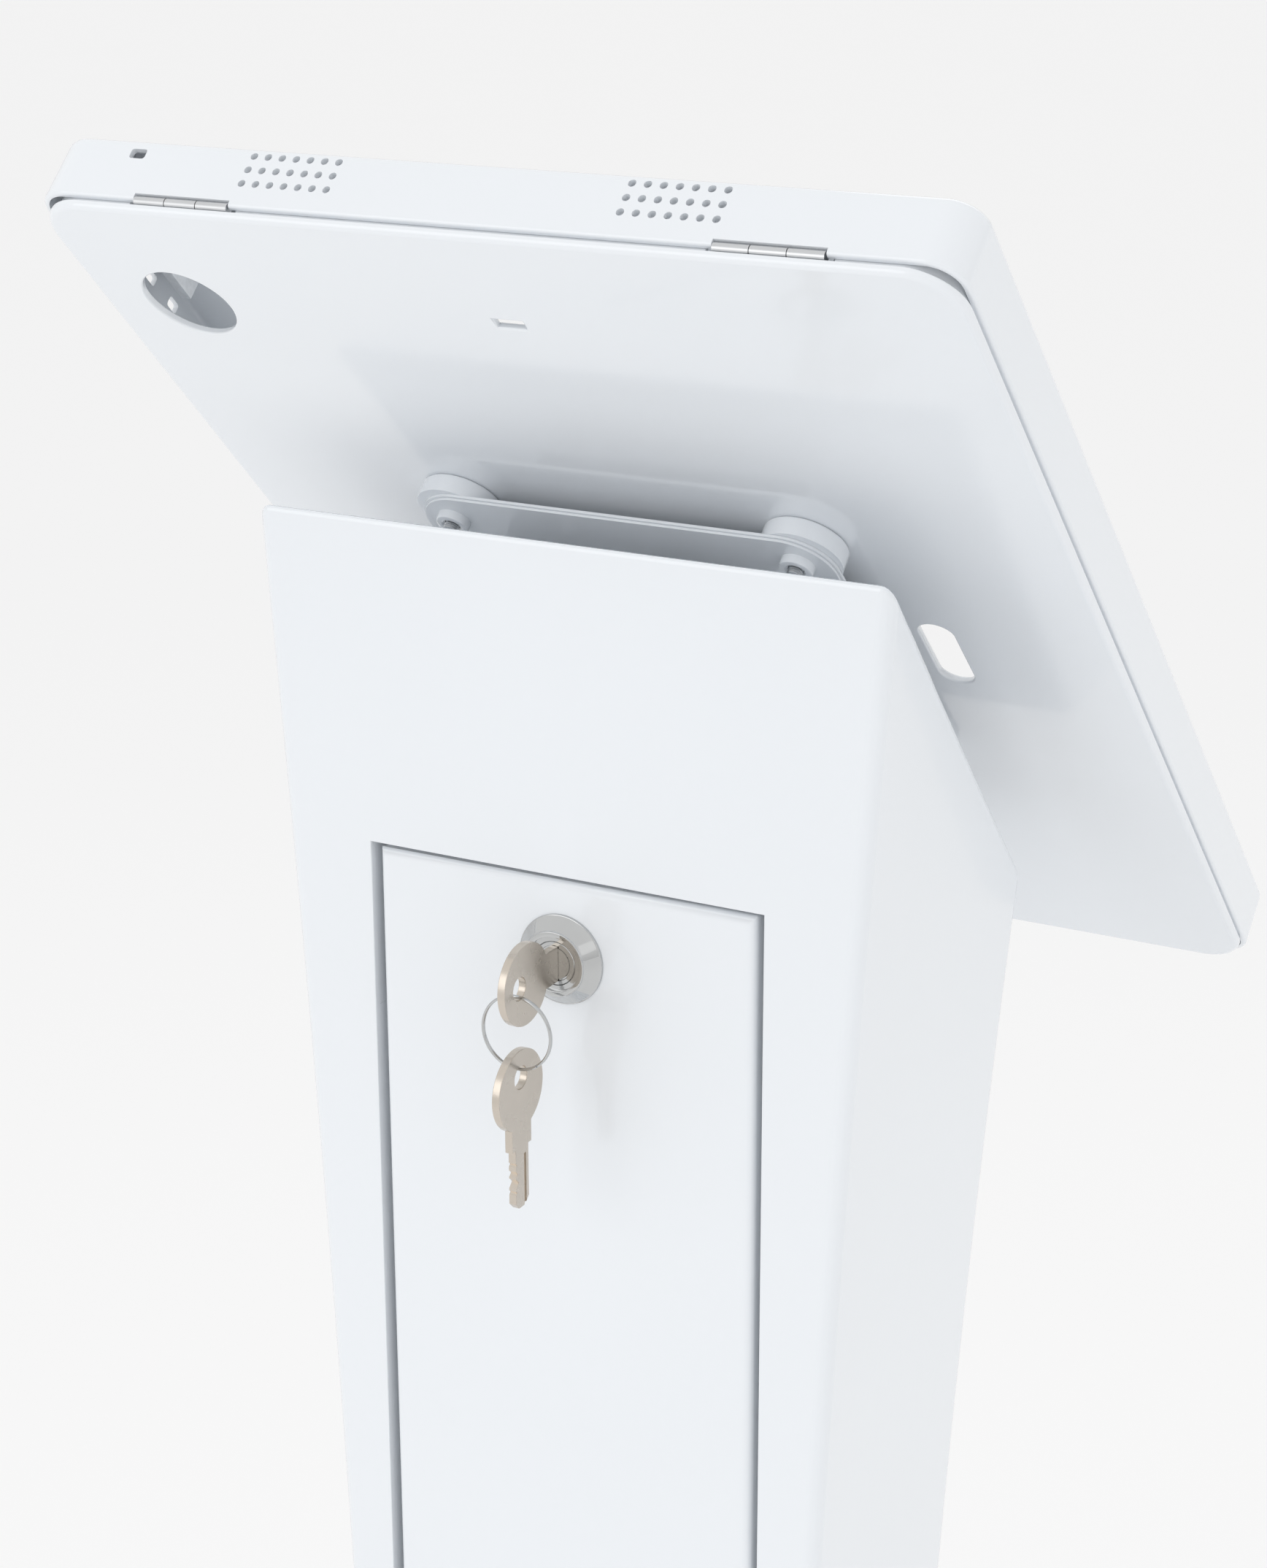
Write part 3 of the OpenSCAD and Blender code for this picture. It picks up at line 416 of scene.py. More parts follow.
class Graph:
    """One node tree, of a material or of the surround."""

    def __init__(self, tree):
        self.tree = tree

    def node(self, kind, settings=None, inputs=None, output=0):
        """Adds a node, sets its settings, then its inputs, and gives one output."""
        made = self.tree.nodes.new(kind)
        for key, value in (settings or {}).items():
            if key == "stops":
                self.set_stops(made.color_ramp, value)
            else:
                setattr(made, key, value)
        pairs = enumerate(inputs) if isinstance(inputs, (list, tuple)) else (inputs or {}).items()
        for key, value in pairs:
            self.put(made.inputs[key], value)
        return Socket(self, made.outputs[output])

    def set_stops(self, ramp, stops):
        """Grey stops of a colour ramp, as place and brightness."""
        while len(ramp.elements) < len(stops):
            ramp.elements.new(1.0)
        for element, (place, shade) in zip(ramp.elements, stops):
            element.position = place
            element.color = (shade, shade, shade, 1.0)

    def put(self, socket, value):
        if isinstance(value, Socket):
            self.tree.links.new(value.link, socket)
        elif value is not None:
            socket.default_value = value

    def noise(self, scale, detail=3.0, where=None):
        where = where or self.node("ShaderNodeTexCoord", output="Object")
        return self.node("ShaderNodeTexNoise", None, {"Vector": where, "Scale": scale, "Detail": detail})

    def mixed(self, factor, first, second):
        return self.node("ShaderNodeMix", {"data_type": "RGBA"},
                         {0: factor, 6: (*first, 1.0), 7: (*second, 1.0)}, output=2)


class Finish(Graph):
    """A material's tree round its one shader."""

    def __init__(self, name):
        self.material = bpy.data.materials.new(name)
        self.material.use_nodes = True
        super().__init__(self.material.node_tree)
        self.shader = self.tree.nodes["Principled BSDF"]

    def set(self, **values):
        """Sets the shader's own sockets, named with underscores for spaces."""
        for key, value in values.items():
            self.put(self.shader.inputs[key.replace("_", " ")], value)

    def bump(self, height, strength, distance):
        self.set(Normal=self.node("ShaderNodeBump", None,
                                  {"Strength": strength, "Distance": distance, "Height": height}))


def scaled(shade, factor):
    return tuple(min(1.0, channel * factor) for channel in shade)


def powder_coat(name, shade):
    finish = Finish(name)
    cloud = finish.noise(9.0, 2.0)
    finish.set(Base_Color=finish.mixed(cloud, scaled(shade, 0.985), scaled(shade, 1.015)),
               Roughness=0.20 + 0.06 * finish.noise(60.0, 2.0), Coat_Weight=0.8, Coat_Roughness=0.07,
               Coat_IOR=1.6)
    finish.bump(finish.noise(420.0, 2.0), 0.12, 0.06 * MM)
    return finish.material


def metal(name, shade, roughness, spread, grain, depth, scratches=0.0):
    finish = Finish(name)
    smear = finish.noise(90.0, 3.0)
    height = finish.noise(grain, 2.0)
    if scratches:
        drawn = finish.node("ShaderNodeMapping", None,
                            {"Vector": finish.node("ShaderNodeTexCoord", output="Object"),
                             "Scale": (1, 1, 0.06)})
        height = height + scratches * finish.noise(grain * 2, 2.0, drawn)
    finish.set(Metallic=1.0, Base_Color=finish.mixed(smear, scaled(shade, 0.92), scaled(shade, 1.06)),
               Roughness=roughness + spread * smear)
    finish.bump(height, 0.2, depth)
    return finish.material


def soft_solid(name, shade, roughness, grain, depth):
    finish = Finish(name)
    speckle = finish.noise(grain, 4.0)
    finish.set(Base_Color=finish.mixed(speckle, scaled(shade, 0.85), scaled(shade, 1.15)),
               Roughness=roughness - 0.1 * speckle)
    finish.bump(speckle, 0.3, depth)
    return finish.material


def floor_paint(shade):
    finish = Finish("floor_paint")
    cloud = finish.noise(2.0, 2.0)
    finish.set(Base_Color=finish.mixed(cloud, scaled(shade, 0.995), shade), Roughness=0.8,
               Specular_IOR_Level=0.1)
    return finish.material


def finish_of(slot):
    """The material of a slot, made when it is first asked for."""
    shades = bpy.context.scene.kiosk_colours
    recipes = {
        "powder_white": (powder_coat, shades.powder),
        # powder_hardware is the white powder coat made 4% lighter: painted light on the spacers and weld
        # nuts, lifting them in the shaded gap between the back panel and the mounting sheets
        "powder_hardware": (powder_coat, scaled(shades.powder, 1.04)),
        "chrome": (metal, shades.chrome, 0.04, 0.05, 300.0, 0.01 * MM),
        "nickel": (metal, shades.nickel, 0.20, 0.14, 900.0, 0.03 * MM, 0.6),
        "zinc": (metal, shades.zinc, 0.22, 0.16, 700.0, 0.02 * MM, 0.3),
        "black_rubber": (soft_solid, shades.rubber, 0.75, 900.0, 0.05 * MM),
        "black_foam": (soft_solid, shades.rubber, 0.95, 1600.0, 0.2 * MM),
        "white_nylon": (soft_solid, scaled(shades.powder, 0.95), 0.5, 700.0, 0.03 * MM),
    }
    if slot not in FINISHES:
        recipe, *values = recipes[slot]
        FINISHES[slot] = recipe("finish_" + slot, *values)
    return FINISHES[slot]


# ---------------------------------------------------------------- places

def middle(node):
    """Centre of a node's box."""
    low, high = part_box(node)
    return (low + high) / 2


def enclosure_place(sizes):
    """The enclosure's own frame: x across, y up the slope, z out of the screen, and z = 0 on the
    back panel's rear face at its centre."""
    return (Matrix.Translation(middle("back_panel")) @ Matrix.Rotation(sizes.tilt, 4, "X")
            @ Matrix.Translation((0, 0, -sizes.panel_t / 2)))


def facing_rear():
    """Turns a shape's z to +Y."""
    return Matrix.Rotation(math.radians(-90), 4, "X")


# ---------------------------------------------------------------- base and column

class KIOSK_OT_base(bpy.types.Operator):
    """Makes the base plate and the rubber sheet under it"""
    bl_idname = "kiosk.base"
    bl_label = "Base"

    def execute(self, context):
        sizes = context.scene.kiosk_column
        low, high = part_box("base_plate")
        holes = [Matrix.Translation((sx * (high.x - sizes.anchor_inset),
                                     sy * (high.y - sizes.anchor_inset), 0))
                 for sx in SIDES for sy in SIDES]
        plate = slab(low, high, sizes.base_corner, (0.5 * MM, sizes.base_rim), 12)
        sink_r = sizes.foot_sink / 2
        near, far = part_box("base_screws")
        feet = [Matrix.Translation((sx * (far.x - sink_r + FREE),
                                    far.y - sink_r + FREE if sy > 0 else near.y + sink_r - FREE, 0))
                for sx in SIDES for sy in SIDES]
        for places, width, bottom, top in (
                (holes, sizes.anchor_d, low.z - OVER, high.z + OVER),
                (feet, sizes.foot_bore, low.z + MM, high.z + OVER),
                (feet, sizes.foot_sink, low.z - OVER, low.z + sizes.foot_sink_h)):
            carve(plate, [rod(width / 2, bottom, top, 32, place) for place in places])
        for hole in holes:
            rim = hole @ Vector((0, 0, high.z))
            soften(plate, ring_edges(plate, rim, sizes.anchor_d, high.z), sizes.anchor_rim, 2)
        add_piece("base_plate_steel", plate, "stand", ["base_plate"], "powder_white")
        low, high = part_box("base_pad")
        pad = slab(low, high, sizes.base_corner - sizes.pad_inset, (sizes.pad_rim, sizes.pad_rim), 12, 2)
        wide = sizes.anchor_d / 2 + 1.5 * sizes.pad_inset
        carve(pad, [rod(wide, low.z - OVER, high.z + OVER, 32, hole) for hole in holes])
        add_piece("base_rubber", pad, "stand", ["base_pad"], "black_rubber")
        return {"FINISHED"}


class KIOSK_OT_column(bpy.types.Operator):
    """Makes the waisted sheet-steel column with its sloped top and rear opening"""
    bl_idname = "kiosk.column"
    bl_label = "Column"

    def execute(self, context):
        sizes = context.scene.kiosk_column
        mount = context.scene.kiosk_mount
        low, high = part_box("column_shell")
        rear = high.y
        front = rear - sizes.waist_d
        half = sizes.waist_w / 2
        bm = block((-half, front, low.z), (half, rear, high.z + 20 * MM))
        soften(bm, edges_along(bm, 2, MM), sizes.bend, 4)
        levels = 36
        for step in range(1, levels):
            z = low.z + (high.z - low.z) * step / levels
            bmesh.ops.bisect_plane(bm, geom=bm.verts[:] + bm.edges[:] + bm.faces[:],
                                   plane_co=(0, 0, z), plane_no=(0, 0, 1))
        for vert in bm.verts:
            rise = vert.co.z - sizes.waist_z
            out = sizes.side_r - math.sqrt(sizes.side_r ** 2 - rise ** 2)
            ahead = sizes.front_r - math.sqrt(sizes.front_r ** 2 - rise ** 2)
            vert.co.x += math.copysign(out, vert.co.x)
            if vert.co.y < (rear + front) / 2:
                vert.co.y -= ahead
        turn = Matrix.Rotation(context.scene.kiosk_enclosure.tilt, 3, "X")
        slope = turn @ Vector((0, 0, 1))
        top = Vector((0, rear, high.z))
        cut = bmesh.ops.bisect_plane(bm, geom=bm.verts[:] + bm.edges[:] + bm.faces[:],
                                     plane_co=top, plane_no=slope, clear_outer=True)
        edge_loop = [item for item in cut["geom_cut"] if isinstance(item, bmesh.types.BMEdge)]
        bmesh.ops.contextual_create(bm, geom=edge_loop)
        rim = [e for e in edge_loop if e.is_valid]
        soften(bm, rim, sizes.rim, 4)
        drop_face(bm, 2, low.z)
        thicken(bm, sizes.wall)
        door_low, door_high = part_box("service_door")
        gap = sizes.opening_w / 2
        opening = block((-gap, rear - sizes.wall - 6 * MM, door_low.z - sizes.opening_bottom),
                        (gap, rear + OVER, door_high.z + sizes.opening_top))
        place = enclosure_place(context.scene.kiosk_enclosure)
        floor_z = (place.inverted() @ top).z
        way = rod(mount.cable_hole_d / 2, floor_z - 8 * MM, floor_z + OVER, 64, place)
        carve(bm, [opening, way])
        bm = joined([bm, self.opening_return(sizes, gap, rear - sizes.wall,
                                             door_low.z - sizes.opening_bottom,
                                             door_high.z + sizes.opening_top)])
        soften(bm, steep(level_edges(bm, 1, rear)), sizes.cut_edge, 2)
        add_piece("column_steel", bm, "stand", ["column_shell"], "powder_white")
        return {"FINISHED"}

    def opening_return(self, sizes, gap, rear, bottom, top):
        """Folded return that runs inwards round the door opening."""
        wall = sizes.door_wall
        bm = block((-gap - wall, rear - sizes.return_d, bottom - wall), (gap + wall, rear, top + wall))
        gap += sizes.return_gap
        return carve(bm, [block((-gap, rear - sizes.return_d - OVER, bottom), (gap, rear + OVER, top))])


class KIOSK_OT_door(bpy.types.Operator):
    """Makes the folded service door"""
    bl_idname = "kiosk.door"
    bl_label = "Service door"

    def execute(self, context):
        sizes = context.scene.kiosk_column
        lock = context.scene.kiosk_lock
        low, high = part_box("service_door")
        bm = block(low, high)
        soften(bm, level_edges(bm, 1, high.y), sizes.door_bend, 5)
        soften(bm, edges_along(bm, 1, 3 * MM), sizes.door_corner, 3)
        drop_face(bm, 1, low.y)
        thicken(bm, sizes.door_wall)
        hole = middle("door_lock_body")
        pivot = middle("door_pivot_left")
        face = Matrix.Translation((hole.x, high.y, hole.z)) @ facing_rear()
        side = Matrix.Translation((0, pivot.y, pivot.z)) @ Matrix.Rotation(math.radians(90), 4, "Y")
        carve(bm, [rod(lock.barrel_d / 2 + RUN, -6 * MM, OVER, 48, face)])
        carve(bm, [rod(sizes.pivot_d / 2 + RUN, low.x - OVER, high.x + OVER, 32, side)])
        add_piece("door_panel", bm, "door", ["service_door"], "powder_white")
        return {"FINISHED"}


# ---------------------------------------------------------------- mount

class KIOSK_OT_mount(bpy.types.Operator):
    """Makes the riser tube, the mounting sheets, the spacers, the weld nuts and the screws"""
    bl_idname = "kiosk.mount"
    bl_label = "Enclosure mount"

    def execute(self, context):
        sizes = context.scene.kiosk_mount
        case = context.scene.kiosk_enclosure
        place = enclosure_place(case)
        rear = -sizes.spacer_h - 2 * sizes.sheet_t
        spots = [Matrix.Translation((sx * sizes.pitch / 2, sy * sizes.pitch / 2, 0))
                 for sx, sy in ((1, 1), (-1, 1), (-1, -1), (1, -1))]
        self.riser(sizes, place, rear)
        low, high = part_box("vesa_plate")
        half = (high.x - low.x) / 2
        for name, node, z, w in (("hub_sheet", "hub_plate", rear, half - 0.5 * MM),
                                 ("enclosure_sheet", "vesa_plate", rear + sizes.sheet_t, half)):
            sheet = slab((-w, -w, z), (w, w, z + sizes.sheet_t), sizes.plate_corner,
                         (0.2 * MM, 0.2 * MM), 12, 2)
            cutters = [rod(sizes.screw_d / 2 + FREE, z - OVER, z + 2 * OVER, 24, spot) for spot in spots]
            cutters.append(rod(sizes.cable_hole_d / 2, z - OVER, z + 2 * OVER, 64))
            carve(sheet, cutters)
            add_piece(name, sheet, "stand", [node], "powder_white", place)
        outer, bore, tall = (value / MM for value in (sizes.spacer_d / 2, sizes.screw_d / 2 + FREE,
                                                      sizes.spacer_h))
        for index, spot in enumerate(spots):
            spacer = lathe([(bore, -tall), (outer - 0.2, -tall), (outer - 0.06, -tall + 0.06),
                            (outer, -tall + 0.2), (outer, -0.9), (outer - 0.1, -0.5),
                            (outer - 0.35, -0.2), (outer - 0.8, 0), (bore, 0)], 96)
            add_piece("spacer_%d_turned" % (index + 1), spacer, "stand", ["spacer_%d" % (index + 1)],
                      "powder_hardware", place @ spot)
        self.nuts(sizes, place, spots, rear / MM)
        self.screws(sizes, place, spots, rear / MM, case.panel_t / MM)
        return {"FINISHED"}

    def riser(self, sizes, place, rear):
        w, l, z = sizes.riser_w / 2, sizes.riser_l / 2, rear - sizes.riser_h
        bm = block((-w, -l, z), (w, l, rear))
        soften(bm, edges_along(bm, 1, MM), sizes.riser_bend, 4)
        for end in (-l, l):
            drop_face(bm, 1, end)
        thicken(bm, sizes.riser_wall)
        carve(bm, [rod(sizes.cable_hole_d / 2, z - OVER, rear + OVER, 64)])
        soften(bm, steep(level_edges(bm, 1, l) + level_edges(bm, 1, -l)), 0.3 * MM, 2)
        add_piece("riser_tube", bm, "stand", ["mount_riser"], "powder_white", place)

    def nuts(self, sizes, place, spots, rear):
        outer, bore, tall = (value / MM for value in (sizes.nut_d / 2, sizes.screw_d / 2 + RUN,
                                                      sizes.nut_h))
        outline = [(bore, rear), (outer, rear), (outer, rear - tall + 0.6),
                   (outer - 0.18, rear - tall + 0.18), (outer - 0.6, rear - tall),
                   (bore + 0.9, rear - tall), (bore + 0.5, rear - tall + 0.25), (bore, rear - tall + 0.6)]
        collars = joined([moved(lathe(outline, 48), spot) for spot in spots])
        add_piece("weld_nut_collars", collars, "stand", ["weld_nuts"], "powder_hardware", place)

    def screws(self, sizes, place, spots, rear, panel_t):
        """Pan heads inside the panel, and threaded shanks through to the weld nuts."""
        r, head_r, head_h = (value / MM for value in (sizes.screw_d / 2, sizes.screw_head_d / 2,
                                                      sizes.screw_head_h))
        end = rear - (sizes.nut_h + sizes.screw_tip) / MM
        pitch, depth = 0.7, 0.38
        outline = [(0, end), (r - 0.7, end), (r - depth, end + 0.3)]
        turns = 7
        for turn in range(turns):
            z = end + 0.3 + turn * pitch
            outline += [(r, z + 0.30 * pitch), (r, z + 0.45 * pitch), (r - depth, z + 0.85 * pitch),
                        (r - depth, z + pitch)]
        outline += [(r, end + 0.5 + turns * pitch), (r, panel_t), (head_r, panel_t),
                    (head_r, panel_t + 0.35 * head_h), (head_r - 0.35, panel_t + 0.7 * head_h),
                    (head_r - 1.3, panel_t + head_h), (0, panel_t + head_h)]
        screw = lathe(outline, 32)
        recess = (panel_t + 0.5 * head_h) * MM
        for wide, deep in ((2, 0.0), (0.5, 0.02)):
            across, half = wide * MM, MM / wide
            carve(screw, [block((-across, -half, recess - deep * MM),
                                (across, half, (panel_t + head_h) * MM + OVER))])
        copies = []
        for spot in spots:
            copy = screw.copy()
            copies.append(moved(copy, spot))
        screw.free()
        add_piece("mounting_screws", joined(copies), "stand", ["mount_screws"], "zinc", place)


# ---------------------------------------------------------------- enclosure

class KIOSK_OT_back_panel(bpy.types.Operator):
    """Makes the back panel with its folded rim, inner lip, camera hole and slots"""
    bl_idname = "kiosk.back_panel"
    bl_label = "Back panel"

    def execute(self, context):
        sizes = context.scene.kiosk_enclosure
        mount = context.scene.kiosk_mount
        w, h, t = sizes.panel_w / 2, sizes.panel_h / 2, sizes.panel_t
        bm = slab((-w, -h, 0), (w, h, t), sizes.panel_corner, (sizes.panel_rim, 0.2 * MM), 14, 5)
        hole = Vector((w - sizes.camera_from_side, h - sizes.camera_from_top, 0))
        cutters = [rod(sizes.camera_d / 2, -OVER, t + OVER, 96, Matrix.Translation(hole))]
        slot_y = h - sizes.sensor_from_top
        cutters.append(block((-sizes.sensor_w / 2, slot_y - sizes.sensor_h / 2, -OVER),
                             (sizes.sensor_w / 2, slot_y + sizes.sensor_h / 2, t + OVER)))
        cutters.append(slab((-sizes.cable_slot_x - sizes.cable_slot_w / 2, -sizes.cable_slot_l / 2, -OVER),
                            (-sizes.cable_slot_x + sizes.cable_slot_w / 2, sizes.cable_slot_l / 2,
                             t + OVER), sizes.cable_slot_w / 2 - 0.005 * MM, corner_steps=16))
        for sx in SIDES:
            for sy in SIDES:
                cutters.append(rod(mount.screw_d / 2 + FREE, -OVER, t + OVER, 24,
                                   Matrix.Translation((sx * mount.pitch / 2, sy * mount.pitch / 2, 0))))
        carve(bm, cutters)
        for level in (0, t):
            rims = ring_edges(bm, (*hole.xy, level), sizes.camera_d, level)
            rims += ring_edges(bm, (-sizes.cable_slot_x, 0, level), sizes.cable_slot_l, level)
            rims += ring_edges(bm, (0, slot_y, level), sizes.sensor_w, level)
            soften(bm, rims, 0.6 * MM, 3)
        add_piece("rear_panel", joined([bm, self.lip(sizes, w, h)]), "stand", ["back_panel"],
                  "powder_white", enclosure_place(sizes))
        return {"FINISHED"}

    def lip(self, sizes, w, h):
        """Folded lip just inside the shell, open at the hinges."""
        inset = sizes.lip_gap + sizes.shell_wall - sizes.shell_proud
        low, high = sizes.panel_t - 0.3 * MM, sizes.panel_t + sizes.lip_h
        bm = slab((inset - w, inset - h, low), (w - inset, h - inset, high),
                  sizes.panel_corner - inset, (0, 0), 10)
        drop_face(bm, 2, low)
        drop_face(bm, 2, high)
        thicken(bm, sizes.lip_t)
        gap = sizes.hinge_l / 2 + 2 * MM
        carve(bm, [block((s * sizes.hinge_x - gap, h - 8 * MM, low - OVER),
                         (s * sizes.hinge_x + gap, h + OVER, high + OVER)) for s in SIDES])
        return bm


class KIOSK_OT_front_shell(bpy.types.Operator):
    """Makes the folded front shell with its window, speaker holes, button openings and notches"""
    bl_idname = "kiosk.front_shell"
    bl_label = "Front shell"

    def execute(self, context):
        sizes = context.scene.kiosk_enclosure
        w, h = sizes.panel_w / 2 + sizes.shell_proud, sizes.panel_h / 2 + sizes.shell_proud
        rear, front = sizes.panel_t + sizes.shell_gap, sizes.depth
        bm = slab((-w, -h, rear), (w, h, front), sizes.shell_corner, (0, sizes.shell_bend), 12, 5)
        drop_face(bm, 2, rear)
        thicken(bm, sizes.shell_wall)
        outer = []
        for edge in level_edges(bm, 2, rear):
            out = (edge.verts[0].co + edge.verts[1].co) / 2
            if any(face.normal.xy.length > 0.9 and face.normal.dot(Vector((*out.xy, 0))) > 0
                   for face in edge.link_faces):
                outer.append(edge)
        soften(bm, outer, sizes.shell_lip, 3)
        tablet_mid = front - sizes.shell_wall - sizes.tablet_t / 2
        window = slab((-sizes.window_w / 2, -sizes.window_h / 2, front - 3 * MM),
                      (sizes.window_w / 2, sizes.window_h / 2, front + OVER), sizes.window_corner)
        carve(bm, [window])
        soften(bm, steep(level_edges(bm, 2, front)), 0.4 * MM, 2)
        carve(bm, self.top_holes(sizes, w, h, tablet_mid))
        lock = enclosure_place(sizes).inverted() @ middle("shell_lock_plug")
        gap = sizes.hinge_l / 2 + 0.3 * MM
        cutters = [block((s * sizes.hinge_x - gap, h - 4.3 * MM, rear - OVER),
                         (s * sizes.hinge_x + gap, h + OVER, sizes.panel_t + sizes.notch_h))
                   for s in SIDES]
        cutters.append(rod(sizes.lock_barrel_d / 2 + RUN, -OVER, 2 * OVER, 32,
                           Matrix.Translation((lock.x, -h, lock.z)) @ facing_rear()))
        carve(bm, cutters)
        add_piece("screen_shell", bm, "enclosure_front", ["front_shell"], "powder_white",
                  enclosure_place(sizes))
        return {"FINISHED"}

    def top_holes(self, sizes, w, h, tablet_mid):
        cutters = []
        for side in SIDES:
            for row in (-1, 0, 1):
                for column in range(-3, 4):
                    spot = Vector((side * sizes.speaker_x + column * sizes.speaker_pitch, h,
                                   tablet_mid - sizes.speaker_shift + row * sizes.speaker_pitch))
                    cutters.append(rod(sizes.speaker_d / 2, -2 * OVER, OVER, 20,
                                       Matrix.Translation(spot) @ facing_rear()))
        half = Vector((sizes.button_l / 2, sizes.button_w / 2, 3 * MM))
        button = Matrix.Translation((w - sizes.power_from_side, h, tablet_mid)) @ facing_rear()
        cutters.append(moved(slab(-half, half, sizes.button_corner, corner_steps=4), button))
        for index in (0, 1):
            spot = Matrix.Translation((w, h - sizes.volume_from_top - index * sizes.volume_pitch,
                                       tablet_mid - sizes.volume_shift))
            turn = Matrix.Rotation(math.radians(90), 4, "Z") @ facing_rear()
            cutters.append(moved(slab(-half, half, sizes.button_corner, corner_steps=4), spot @ turn))
        return cutters


# ---------------------------------------------------------------- locks and keys

class KIOSK_OT_door_lock(bpy.types.Operator):
    """Makes the door lock's bezel and barrel, and its plug with the keyway"""
    bl_idname = "kiosk.door_lock"
    bl_label = "Door lock"

    def execute(self, context):
        sizes = context.scene.kiosk_lock
        low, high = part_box("door_lock_body")
        centre = middle("door_lock_plug")
        face = Matrix.Translation((centre.x, high.y - sizes.bezel_h, centre.z)) @ facing_rear()
        wide, ring, barrel, plug = (value / MM / 2 for value in (sizes.bezel_d, sizes.ring_d,
                                                                 sizes.barrel_d, sizes.plug_d))
        tall, deep, recess = (value / MM for value in (sizes.bezel_h, sizes.barrel_l, sizes.recess))
        well, bore = ring - 1.5, plug + 0.05
        outline = [(bore, -deep), (barrel - 0.4, -deep), (barrel, -deep + 0.4), (barrel, 0), (wide, 0),
                   (wide, 0.5), (wide - 0.12, 0.72), (wide - 0.4, 0.8), (ring + 0.35, tall - 0.85),
                   (ring + 0.1, tall - 0.72), (ring, tall - 0.55), (ring, tall - 0.2),
                   (ring - 0.1, tall - 0.05), (ring - 0.25, tall), (well + 0.35, tall),
                   (well + 0.1, tall - 0.08), (well, tall - 0.3), (well, tall - recess),
                   (bore, tall - recess)]
        add_piece("door_lock_bezel", lathe(outline, 96), "door", ["door_lock_body"], "chrome", face)
        low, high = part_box("door_lock_plug")
        end = (high.y - low.y) / MM
        outline = [(0, 0), (plug - 0.3, 0), (plug, 0.3), (plug, end - 0.25), (plug - 0.25, end),
                   (plug - 1.1, end), (plug - 1.25, end - 0.25), (plug - 1.6, end - 0.25),
                   (plug - 1.75, end), (0, end)]
        bm = lathe(outline, 72)
        way = Vector((sizes.key_t / 2 + RUN, sizes.blade_w / 2 + RUN, 0))
        top = end * MM
        keyway = block((-way.x, -way.y, top - sizes.blade_l - MM), (way.x, way.y, top + OVER))
        carve(bm, [keyway])
        place = Matrix.Translation((centre.x, low.y, centre.z)) @ facing_rear()
        add_piece("door_lock_plug_face", bm, "door_lock", ["door_lock_plug"], "chrome", place)
        return {"FINISHED"}


class KIOSK_OT_enclosure_lock(bpy.types.Operator):
    """Makes the small lock in the enclosure's lower wall"""
    bl_idname = "kiosk.enclosure_lock"
    bl_label = "Enclosure lock"

    def execute(self, context):
        sizes = context.scene.kiosk_enclosure
        spot = enclosure_place(sizes).inverted() @ middle("shell_lock_body")
        flange, barrel, plug = (value / MM / 2 for value in (sizes.lock_d, sizes.lock_barrel_d,
                                                             sizes.lock_plug_d))
        wall = -(sizes.panel_h / 2 + sizes.shell_proud)
        face = enclosure_place(sizes) @ Matrix.Translation((spot.x, wall, spot.z)) @ facing_rear()
        whole, out = sizes.lock_deep / MM, sizes.lock_out / MM
        deep = whole - 0.01    # keeps the barrel's end off the plug's
        outline = [(plug + 0.05, deep), (barrel - 0.4, deep), (barrel, deep - 0.4), (barrel, 0),
                   (flange, 0), (flange, -0.7), (flange - 0.2, -1.1), (flange - 1.0, -out),
                   (plug + 0.5, -out), (plug + 0.05, -out + 0.35)]
        add_piece("enclosure_lock_bezel", lathe(outline, 64), "enclosure_front",
                  ["shell_lock_body"], "chrome", face)
        front = -out + 0.4
        outline = [(0, whole), (plug - 0.2, whole), (plug, whole - 0.2), (plug, front + 0.25),
                   (plug - 0.25, front), (0, front)]
        bm = lathe(outline, 48)
        carve(bm, [block((-0.5 * MM, -2 * MM, -3 * MM), (0.5 * MM, 2 * MM, 6 * MM))])
        add_piece("enclosure_lock_plug_face", bm, "enclosure_lock", ["shell_lock_plug"], "chrome", face)
        return {"FINISHED"}


